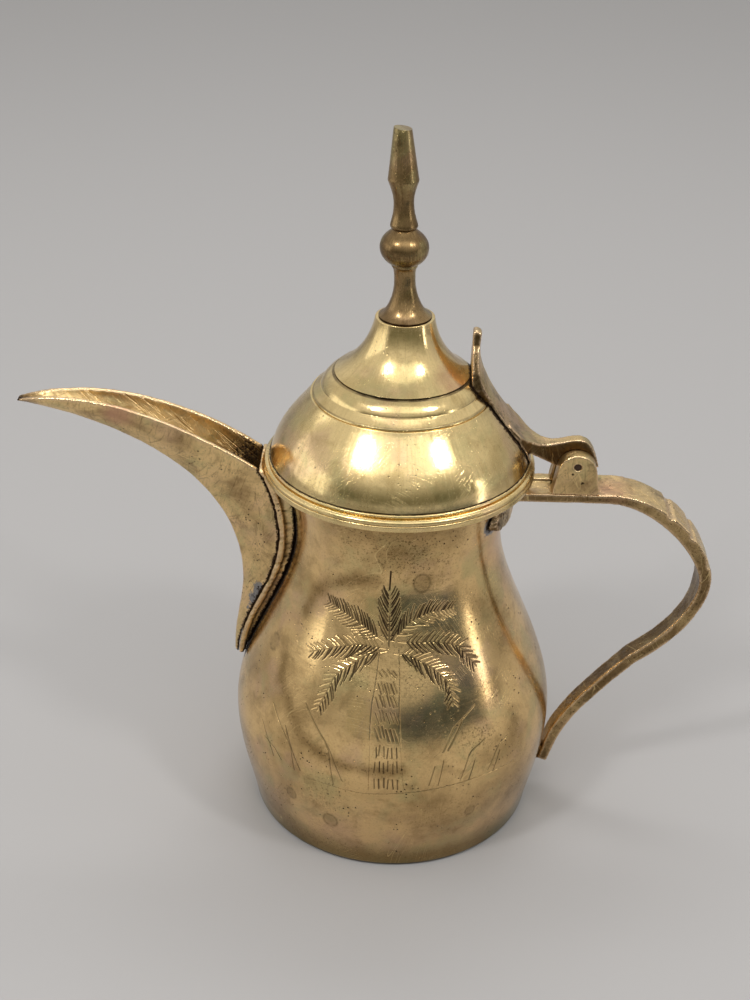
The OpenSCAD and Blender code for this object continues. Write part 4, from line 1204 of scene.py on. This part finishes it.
class DALLAH_OT_handle(bpy.types.Operator):
    """Bend the strap handle with its saddle, and set the two ears of the hinge on it"""

    bl_idname = "dallah.handle"
    bl_label = "Handle"

    def execute(self, context):
        strap = strap_mesh(context.scene.dallah_cast.step_depth / MM)
        add_solder(strap)
        recast(strap, "strap")
        # The side that faces the body was never polished
        outward = unit(places(strap.data) / MM - HANDLE_MIDDLE)
        facing = (vertex_normals(strap.data) * outward).sum(1)
        paint(strap, "tarnish_and_dark_reflections", np.clip(-2.0 * facing, 0, 1))
        finish_piece(strap, "dull_cast_brass", "pot", "cast_brass", "handle")
        saddle = recast(copy_of("neck_saddle", "saddle"), "saddle")
        finish_piece(saddle, "brown_cast_brass", "pot", "cast_brass", "neck_saddle")
        for node in ("hinge_ear_front", "hinge_ear_back"):
            ear = recast(copy_of(node, node + "_filed"), "ear")
            finish_piece(ear, "cast_brass", "pot", "cast_brass", node)
        return {"FINISHED"}


class DALLAH_OT_lever(bpy.types.Operator):
    """File the lid's lever with its thumb tab, leaf, arm and knuckle"""

    bl_idname = "dallah.lever"
    bl_label = "Lever"

    def execute(self, context):
        lever = recast(copy_of("lid_lever", "lever"), "lever")
        finish_piece(lever, "brown_cast_brass", "lid", "cast_brass", "lid_lever")
        return {"FINISHED"}


# ---------------------------------------------------------------- lid

LIP_R = 29.8
LEDGE_R = 29.0
BAND_TOP = (26.4, 3.2)
BELL_R = 22.2
BELL_TOP_R = 9.6
LID_WALL = 1.0
# The finial was screwed on a little askew: heights, and how far its axis is moved there
LEAN = ([159.0, 166.8, 186.3, 247.5], [0.0, 0.3, 0.7, -1.6])


def thin_shell(run, shelf, foot, above, within=math.inf):
    """Outline of a thin wall under an outer run, with a shelf at its top and a flat foot."""
    top_z = run[-1][1]
    inner = sideways(run, LID_WALL)
    keep = (inner[:, 1] > above) & (inner[:, 1] < top_z - LID_WALL) & (inner[:, 0] < within)
    return join_runs(run, [[shelf, top_z], [shelf, top_z - LID_WALL]], inner[keep][::-1], [foot])


def dome_outline(foot_r, foot_z, lip_z):
    run = bezier([
        [foot_r, foot_z], [mix(foot_r, LIP_R, 0.16), mix(foot_z, lip_z, 0.47)],
        [mix(foot_r, LIP_R, 0.65), mix(foot_z, lip_z, 0.67)], [LIP_R, lip_z],
    ], 90)
    return thin_shell(run, LEDGE_R - 3.0, [foot_r - LID_WALL, foot_z], foot_z + 0.05)


def shoulder_outline(lip_z, bell_z):
    band_r = BAND_TOP[0]
    band_z = lip_z + BAND_TOP[1]
    band = [
        [LEDGE_R + 0.3, lip_z], [LEDGE_R + 0.05, lip_z + 0.65], [LEDGE_R - 0.25, lip_z + 0.85],
        [band_r + 0.25, band_z - 0.1],
    ]
    slope = bezier([
        [band_r, band_z], [band_r - 0.5, mix(band_z, bell_z, 0.4)],
        [mix(band_r, BELL_R, 0.6), mix(band_z, bell_z, 0.85)], [BELL_R + 0.2, bell_z],
    ], 24)
    return thin_shell(join_runs(band, slope), BELL_R - 3.0, [LEDGE_R - LID_WALL, lip_z], lip_z + 0.05)


def bell_outline(bell_z, top_z):
    tall = top_z - bell_z
    foot = [[BELL_R - 0.5, bell_z], [BELL_R - 0.05, bell_z + 0.35]]
    flank = bezier([
        [BELL_R, bell_z + 0.5], [mix(BELL_R, BELL_TOP_R, 0.4), bell_z + 0.18 * tall],
        [mix(BELL_R, BELL_TOP_R, 0.86), bell_z + 0.47 * tall], [BELL_TOP_R, top_z],
    ], 80)
    return thin_shell(join_runs(foot, flank), 2.05, [BELL_R - 1.9, bell_z], bell_z + 0.4, BELL_R - 1.0)


def lid_rim_outline(low, high, inside):
    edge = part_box("lid_rim")[1].x / MM
    bead = high - 1.15
    slope = edge - 1.6
    turn = np.radians(np.linspace(0.0, 180.0, 13))
    side = bezier([
        [edge, low + 0.5], [edge, mix(low + 0.5, bead, 0.6)],
        [mix(slope, edge, 0.5), bead - 0.15], [slope, bead - 0.15],
    ], 14)
    ring = np.stack([slope - 0.4 + 0.6 * np.sin(turn), bead + 0.575 * (1 - np.cos(turn))], 1)
    foot = [[inside, low], [edge - 0.25, low], [edge - 0.05, low + 0.1], [edge, low + 0.3]]
    return join_runs(foot, side, ring, [[inside, high]])


# The finial's foot as (radius, height over its base), and what follows as heights over the ball's top
FINIAL_FOOT = (
    (8.3, 0.0), (8.6, 0.12), (8.6, 0.4), (7.4, 1.1), (6.3, 2.3), (5.3, 4.0), (4.4, 6.2), (3.8, 8.4),
    (3.45, 10.6), (3.4, 12.6), (3.42, 14.4), (3.6, 15.8), (3.95, 16.75), (4.2, 17.0), (4.25, 17.5),
    (4.2, 18.0), (3.9, 18.15),
)
BALL_FOOT = 18.1
BALL_HALF = (7.8, 6.4)
COLLAR_R = 4.2
COLLAR = ((3.85, 1.1), (3.85, 1.3), (4.35, 2.0), (4.4, 2.4), (4.3, 2.9))
STEM = ((4.3, 2.9), (3.6, 5.4), (3.2, 6.8), (3.2, 9.9))
FLARE = ((3.2, 9.9), (3.3, 12.6), (4.1, 14.6), (4.8, 16.5))
TIP_EDGE = ((4.88, 16.85), (4.9, 17.0), (4.85, 17.3))
TIP_TOP_R = 2.75
TIP_SLANT = 7.0


def raised(points, by):
    """Points of [radius, height] moved up."""
    return np.array(points, float) + [0.0, by]


def finial_outline(base, top):
    """Half outline of the finial, from its foot to the tip."""
    wide, tall = BALL_HALF
    start = math.asin(COLLAR_R / wide + 0.1)
    turn = np.linspace(math.pi - start, start, 40)
    middle = base + BALL_FOOT + tall * math.cos(start)
    waist = middle + tall * math.cos(start)
    return join_runs(
        raised(FINIAL_FOOT, base),
        np.stack([wide * np.sin(turn), middle + tall * np.cos(turn)], 1),
        raised(COLLAR, waist), bezier(raised(STEM, waist), 20), bezier(raised(FLARE, waist), 16),
        raised(TIP_EDGE, waist), np.linspace([4.8, waist + 17.5], [TIP_TOP_R, top - 0.15], 24),
    )


def finial_mesh(base, top):
    """The finial, leaning a little, with its slanted tip closed."""
    points = turned_grid(finial_outline(base, top), 144)
    limit = top - 0.35 - (points[..., 0] + 2.7) * math.tan(math.radians(TIP_SLANT))
    points[..., 2] = np.minimum(points[..., 2], limit)
    points = leant(points)
    end = points[-1].mean(0)
    tip = [end + (points[-1] - end) * share for share in (0.9, 0.4)]
    obj = grid_object("finial_turning", np.concatenate([points, tip]), caps=True)
    shade(obj)
    return obj


class DALLAH_OT_lid(bpy.types.Operator):
    """Turn the lid's rim, dome, shoulder, bell and finial"""

    bl_idname = "dallah.lid"
    bl_label = "Lid and finial"

    def execute(self, context):
        sizes = context.scene.dallah_lid
        foot_z = sizes.foot_height / MM
        lip_z = sizes.lip_height / MM
        bell_z = sizes.bell_foot / MM
        top_z = sizes.bell_top / MM
        rim = lid_rim_outline(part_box("lid_rim")[0].z / MM, foot_z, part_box("lid_skirt")[1].x / MM + 0.05)
        dome = rounded(dome_outline(sizes.dome_foot / MM, foot_z, lip_z), 0.45)
        shoulder = rounded(shoulder_outline(lip_z, bell_z), 0.3)
        bell = rounded(bell_outline(bell_z, top_z), 0.25)
        pieces = (
            (turned("rim_of_lid", rim), "turned_brass", "lid_rim"),
            (turned("dome", dome), "lid_brass", "lid_dome"),
            (turned("shoulder", shoulder, lean=True), "lid_brass", "lid_shoulder"),
            (turned("bell", bell, lean=True), "lid_brass", "lid_bell"),
        )
        for obj, slot, node in pieces:
            finish_piece(obj, slot, "lid", slot, node)
        finial = finial_mesh(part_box("finial")[0].z / MM, sizes.finial_top / MM)
        finish_piece(finial, "finial_brass", "lid", "turned_brass", "finial")
        return {"FINISHED"}


# ---------------------------------------------------------------- grime and painted gap shade

# Pieces that gather grime and painted shade in the narrow gaps, the pieces they touch, and how far it spreads
# in millimetres
MEETINGS = (
    ("spout_casting", ("spout_strip", "rim_on_mouth"), 1.1),
    ("spout_strip", ("body",), 1.35),
    ("body", ("spout_strip", "saddle"), 1.2),
    ("saddle", ("body", "rim_on_mouth"), 0.9),
    ("rim_on_mouth", ("spout_casting", "saddle"), 0.9),
    ("dome", ("lever",), 1.9),
    ("rim_of_lid", ("lever", "dome"), 0.45),
    ("shoulder", ("lever",), 1.7),
    ("bell", ("lever",), 1.0),
    ("lever", ("dome", "rim_of_lid", "shoulder"), 0.5),
    ("strap_handle", ("body", "rim_on_mouth"), 1.0),
)
SHELLS = ("body", "dome", "shoulder", "bell")
# Places touched by heat, solder and hands: attribute, piece, where on it, (x, y, height, radius, strength)
TOUCHED = (
    ("mark", "spout_casting", "inside", ((-50.0, 0.0, 133.5, 8.0, 1.0), (-57.0, 0.0, 132.0, 6.0, 0.55))),
    ("tarnish_and_dark_reflections", "spout_casting", "inside", ((-54.0, 0.0, 133.0, 10.0, 0.9),)),
    ("mark", "spout_casting", "all", (
        (-48.2, -8.5, 86.0, 1.6, 1.0), (-50.2, -8.5, 82.6, 2.2, 1.0), (-52.4, -8.0, 78.6, 1.7, 0.9),
        (-46.8, -9.0, 96.5, 0.9, 1.0), (-126.5, 0.0, 153.6, 1.9, 0.85),
    )),
    ("tarnish_and_dark_reflections", "spout_casting", "all", ((-125.0, 0.0, 153.6, 4.5, 1.0),)),
    ("solder", "spout_casting", "all", (
        (-48.2, -8.5, 85.6, 3.0, 1.0), (-50.2, -8.5, 81.6, 3.4, 1.0), (-52.4, -8.0, 77.4, 2.8, 1.0),
    )),
    ("blush", "spout_casting", "all", ((-92.9, -7.0, 150.8, 4.5, 1.0),)),
    ("blush", "bell", "all", ((18.0, -12.0, 168.0, 6.0, 0.9),)),
    ("blush", "strap_handle", "all", ((73.0, -2.0, 128.0, 5.0, 0.8),)),
    ("blush", "body", "all", ((34.0, -14.0, 112.0, 8.0, 0.7),)),
    # A darker patch low on the right of the belly: partly tarnish, partly painted shade that dims the lower
    # end of a lamp's reflection
    ("tarnish_and_dark_reflections", "body", "all", ((31.5, -37.5, 67.5, 5.5, 0.55),)),
    ("freckle", "body", "all", (
        (4.0, -35.0, 118.0, 8.0, 0.8), (-12.0, -34.0, 120.0, 6.0, 0.5), (14.0, -33.0, 112.0, 6.0, 0.6),
        (30.0, -47.0, 54.0, 6.0, 0.7), (-24.0, -50.0, 32.0, 6.0, 0.5),
    )),
    ("mark", "hinge_ear_front_filed", "all", ((57.8, -8.0, 134.3, 0.55, 1.0), (61.1, -8.0, 131.0, 0.6, 1.0))),
    ("wear_and_edge_sheen", "strap_handle", "across", tuple((x, 0.0, z, 1.5, 1.0) for x, z in FILED_STEPS)),
)


def meet(obj, other, reach):
    """Paints grime and painted gap shade on a piece where another lies near, with a fringe of solder on the
    body.
    """
    co = places(obj.data)
    there = places(other.data)
    margin = 2.8 * reach * MM
    low = np.maximum(co.min(0), there.min(0)) - margin
    high = np.minimum(co.max(0), there.max(0)) + margin
    there = there[np.all((there > low) & (there < high), axis=1)]
    mine = np.where(np.all((co > low) & (co < high), axis=1))[0]
    away = np.full(len(co), math.inf)
    if len(there) > 0:
        tree = KDTree(len(there))
        for k, p in enumerate(there):
            tree.insert(p, k)
        tree.balance()
        away[mine] = [tree.find(co[k])[2] / MM for k in mine]
    # Darker within reach of another piece: partly grime at the joint, partly painted shade of the narrow gap
    grime_and_gap_shade = np.clip(1.5 - away / reach, 0, 1)
    if obj.name in SHELLS:
        # The inside of a thin wall stays clean
        grime_and_gap_shade *= (vertex_normals(obj.data)[:, :2] * co[:, :2]).sum(1) > 0.0
    paint(obj, "mark", grime_and_gap_shade)
    if obj.name == "body":
        paint(obj, "solder", np.clip(1.4 - away / (1.9 * reach), 0, 1))


def touch(obj, kind, where, middle, radius, strength):
    """Paints one round place, on a whole piece, on its inside or right across it."""
    apart = places(obj.data) / MM - middle
    if where == "across":
        apart[:, 1] = 0.0
    values = strength * np.clip(1.6 - np.linalg.norm(apart, axis=1) / radius, 0, 1)
    if where == "inside":
        values *= read(obj.data.attributes["inside"].data, "value")[:, 0]
    paint(obj, kind, values)


class DALLAH_OT_grime(bpy.types.Operator):
    """Gather soot and grime where the pieces meet and where they were burnt, with painted shade in the gaps
    between pieces
    """

    bl_idname = "dallah.grime"
    bl_label = "Grime"

    def execute(self, context):
        for name, others, reach in MEETINGS:
            for other in others:
                meet(bpy.data.objects[name], bpy.data.objects[other], reach)
        for kind, name, where, spots in TOUCHED:
            for x, y, z, radius, strength in spots:
                touch(bpy.data.objects[name], kind, where, (x, y, z), radius, strength)
        return {"FINISHED"}


# ---------------------------------------------------------------- stage

# The camera's place, its turns, and its lens
EYE = (0.0, -0.47619, 0.38420)
EYE_YAW = -0.01647544
EYE_PITCH = 0.50915101
EYE_ROLL = 0.01924133
LENS = 57.6
SENSOR = 36.0
# Lamps: name, power, size, azimuth from the front towards the handle, elevation, distance and height
LAMPS = (
    ("left_lamp", 3.2, (0.14, 0.19), -44.0, 47.0, 1.15, 0.15),
    ("right_lamp", 2.7, (0.13, 0.17), 52.0, 46.0, 1.15, 0.15),
    ("front_glow", 2.4, (1.5, 0.6), 0.0, 56.0, 1.3, 0.15),
    ("edge_lamp", 0.23, (0.08, 0.3), 72.0, 5.0, 0.7, 0.12),
    ("left_glow", 1.4, (1.0, 0.5), -88.0, 12.0, 1.1, 0.1),
    ("back_lamp", 4.0, (0.8, 0.3), 175.0, 62.0, 1.2, 0.15),
)
POT_MIDDLE = (0.0, 0.0, 0.14)
# Glowing cards before the pot that paint dark reflections on the brass: name, azimuths, heights, and the two
# colours between two places along an axis
CARDS = (
    ("low_flag", (-30.0, 62.0), (0.035, 0.115), "X", (-0.09, 0.08), (0.36, 0.36, 0.33), (0.1, 0.125, 0.15)),
    ("high_flag", (-55.0, 68.0), (0.165, 0.33), "Z", (0.2, 0.33), (0.17, 0.17, 0.13), (0.5, 0.5, 0.47)),
)
CARD_REACH = 0.36
FLOOR_SIDE = 6.0
FLOOR_GREY = (0.385, 0.374, 0.369)
SKY_LOW = (0.62, 0.62, 0.61)
SKY_HIGH = (0.95, 0.94, 0.92)
SKY_STRENGTH = 0.78


def place_camera():
    """Puts the camera at its place and turn."""
    ahead = Vector((
        math.sin(EYE_YAW) * math.cos(EYE_PITCH),
        math.cos(EYE_YAW) * math.cos(EYE_PITCH),
        -math.sin(EYE_PITCH),
    ))
    level = Vector((math.cos(EYE_YAW), -math.sin(EYE_YAW), 0.0))
    up = level.cross(ahead)
    right = level * math.cos(EYE_ROLL) + up * math.sin(EYE_ROLL)
    top = up * math.cos(EYE_ROLL) - level * math.sin(EYE_ROLL)
    camera = bpy.data.cameras.new("camera")
    camera.sensor_width = SENSOR
    camera.lens = LENS
    camera.clip_start = 0.01
    eye = link("camera", camera)
    turn = Matrix((right, top, -ahead)).transposed()
    eye.matrix_world = Matrix.Translation(EYE) @ turn.to_4x4()
    bpy.context.scene.camera = eye


def lamp(name, power, size, azimuth, elevation, distance, height):
    """A lamp that shines on the pot from that side."""
    rise = math.radians(elevation)
    level = distance * math.cos(rise)
    place = Vector(around(level, math.radians(azimuth), height + distance * math.sin(rise)))
    data = bpy.data.lights.new(name, "AREA")
    data.shape = "RECTANGLE"
    data.size, data.size_y = size
    data.energy = power
    obj = link(name, data)
    obj.location = place
    obj.rotation_euler = (Vector(POT_MIDDLE) - place).to_track_quat("-Z", "Y").to_euler()


def card(name, azimuths, heights, axis, span, first, second):
    """A curved card before the pot that only its polished brass reflects: it glows to paint dark reflections
    on the metal and lights nothing.
    """
    turn = np.radians(np.linspace(*azimuths, 40))
    rows = np.stack([around(CARD_REACH, turn, height) for height in heights])
    obj = grid_object(name, rows / MM, loop_columns=False)
    reflection_glow = bpy.data.materials.new(name + "_reflection_glow")
    t = Tree(reflection_glow)
    place = t.add("ShaderNodeSeparateXYZ", {"Vector": t.add("ShaderNodeTexCoord").outputs["Object"]})
    colour = t.blend(t.ramp(place.outputs[axis], *span), first, second)
    glow = t.add("ShaderNodeEmission", {"Color": colour, "Strength": 1.0})
    t.add("ShaderNodeOutputMaterial", {"Surface": glow.outputs[0]})
    obj.data.materials.append(reflection_glow)
    obj.visible_camera = False
    obj.visible_diffuse = False
    obj.visible_shadow = False


def lay_floor():
    """A plain pale floor under the pot."""
    side = FLOOR_SIDE
    mesh = bpy.data.meshes.new("floor")
    corners = [(-side, -side, 0), (side, -side, 0), (side, side, 0), (-side, side, 0)]
    mesh.from_pydata(corners, [], [(0, 1, 2, 3)])
    material = bpy.data.materials.new("pale_floor")
    t = Tree(material)
    shader = t.add("ShaderNodeBsdfPrincipled", {"Base Color": (*FLOOR_GREY, 1.0), "Roughness": 0.95})
    t.add("ShaderNodeOutputMaterial", {"Surface": shader.outputs[0]})
    mesh.materials.append(material)
    link("floor", mesh)


def make_sky():
    """The soft studio light all round, paler above."""
    world = bpy.data.worlds.new("studio")
    bpy.context.scene.world = world
    t = Tree(world)
    way = t.add("ShaderNodeSeparateXYZ", {"Vector": t.add("ShaderNodeTexCoord").outputs["Generated"]})
    sky = t.blend(t.ramp(way.outputs["Z"], 0.02, 0.55), SKY_LOW, SKY_HIGH)
    back = t.add("ShaderNodeBackground", {"Color": sky, "Strength": SKY_STRENGTH})
    t.add("ShaderNodeOutputWorld", {"Surface": back.outputs[0]})


class DALLAH_OT_stage(bpy.types.Operator):
    """Lay the floor, set the lamps and place the camera"""

    bl_idname = "dallah.stage"
    bl_label = "Stage"

    def execute(self, context):
        place_camera()
        lay_floor()
        for row in CARDS:
            card(*row)
        make_sky()
        for row in LAMPS:
            lamp(*row)
        context.scene.view_settings.view_transform = "Standard"
        return {"FINISHED"}


class DALLAH_PT_panel(bpy.types.Panel):
    """Lists the pieces of the pot and what can be changed on them"""

    bl_idname = "DALLAH_PT_panel"
    bl_label = "Dallah"
    bl_space_type = "VIEW_3D"
    bl_region_type = "UI"
    bl_category = "Dallah"

    def draw(self, context):
        for group in (context.scene.dallah_body, context.scene.dallah_lid, context.scene.dallah_cast,
                      context.scene.dallah_colours):
            box = self.layout.box()
            for name in group.__annotations__:
                box.prop(group, name)
        for operator in OPERATORS:
            self.layout.operator(operator.bl_idname)


GROUPS = (
    ("dallah_body", DallahBody), ("dallah_lid", DallahLid), ("dallah_cast", DallahCast),
    ("dallah_colours", DallahColours),
)
OPERATORS = (
    DALLAH_OT_stage, DALLAH_OT_body, DALLAH_OT_spout, DALLAH_OT_handle, DALLAH_OT_lid, DALLAH_OT_lever,
    DALLAH_OT_grime,
)


def register():
    for name, group in GROUPS:
        bpy.utils.register_class(group)
        setattr(bpy.types.Scene, name, PointerProperty(type=group))
    for operator in OPERATORS:
        bpy.utils.register_class(operator)
    bpy.utils.register_class(DALLAH_PT_panel)


def unregister():
    bpy.utils.unregister_class(DALLAH_PT_panel)
    for operator in reversed(OPERATORS):
        bpy.utils.unregister_class(operator)
    for name, group in reversed(GROUPS):
        delattr(bpy.types.Scene, name)
        bpy.utils.unregister_class(group)


def main():
    register()
    for name, obj in frame["nodes"].items():
        obj.data.materials.clear()
        obj.data.materials.append(finish(SLOTS[name]))
        shade(obj, 30.0)
    bpy.ops.dallah.stage()
    bpy.ops.dallah.body()
    bpy.ops.dallah.spout()
    bpy.ops.dallah.handle()
    bpy.ops.dallah.lid()
    bpy.ops.dallah.lever()
    bpy.ops.dallah.grime()


if __name__ == "__main__":
    main()
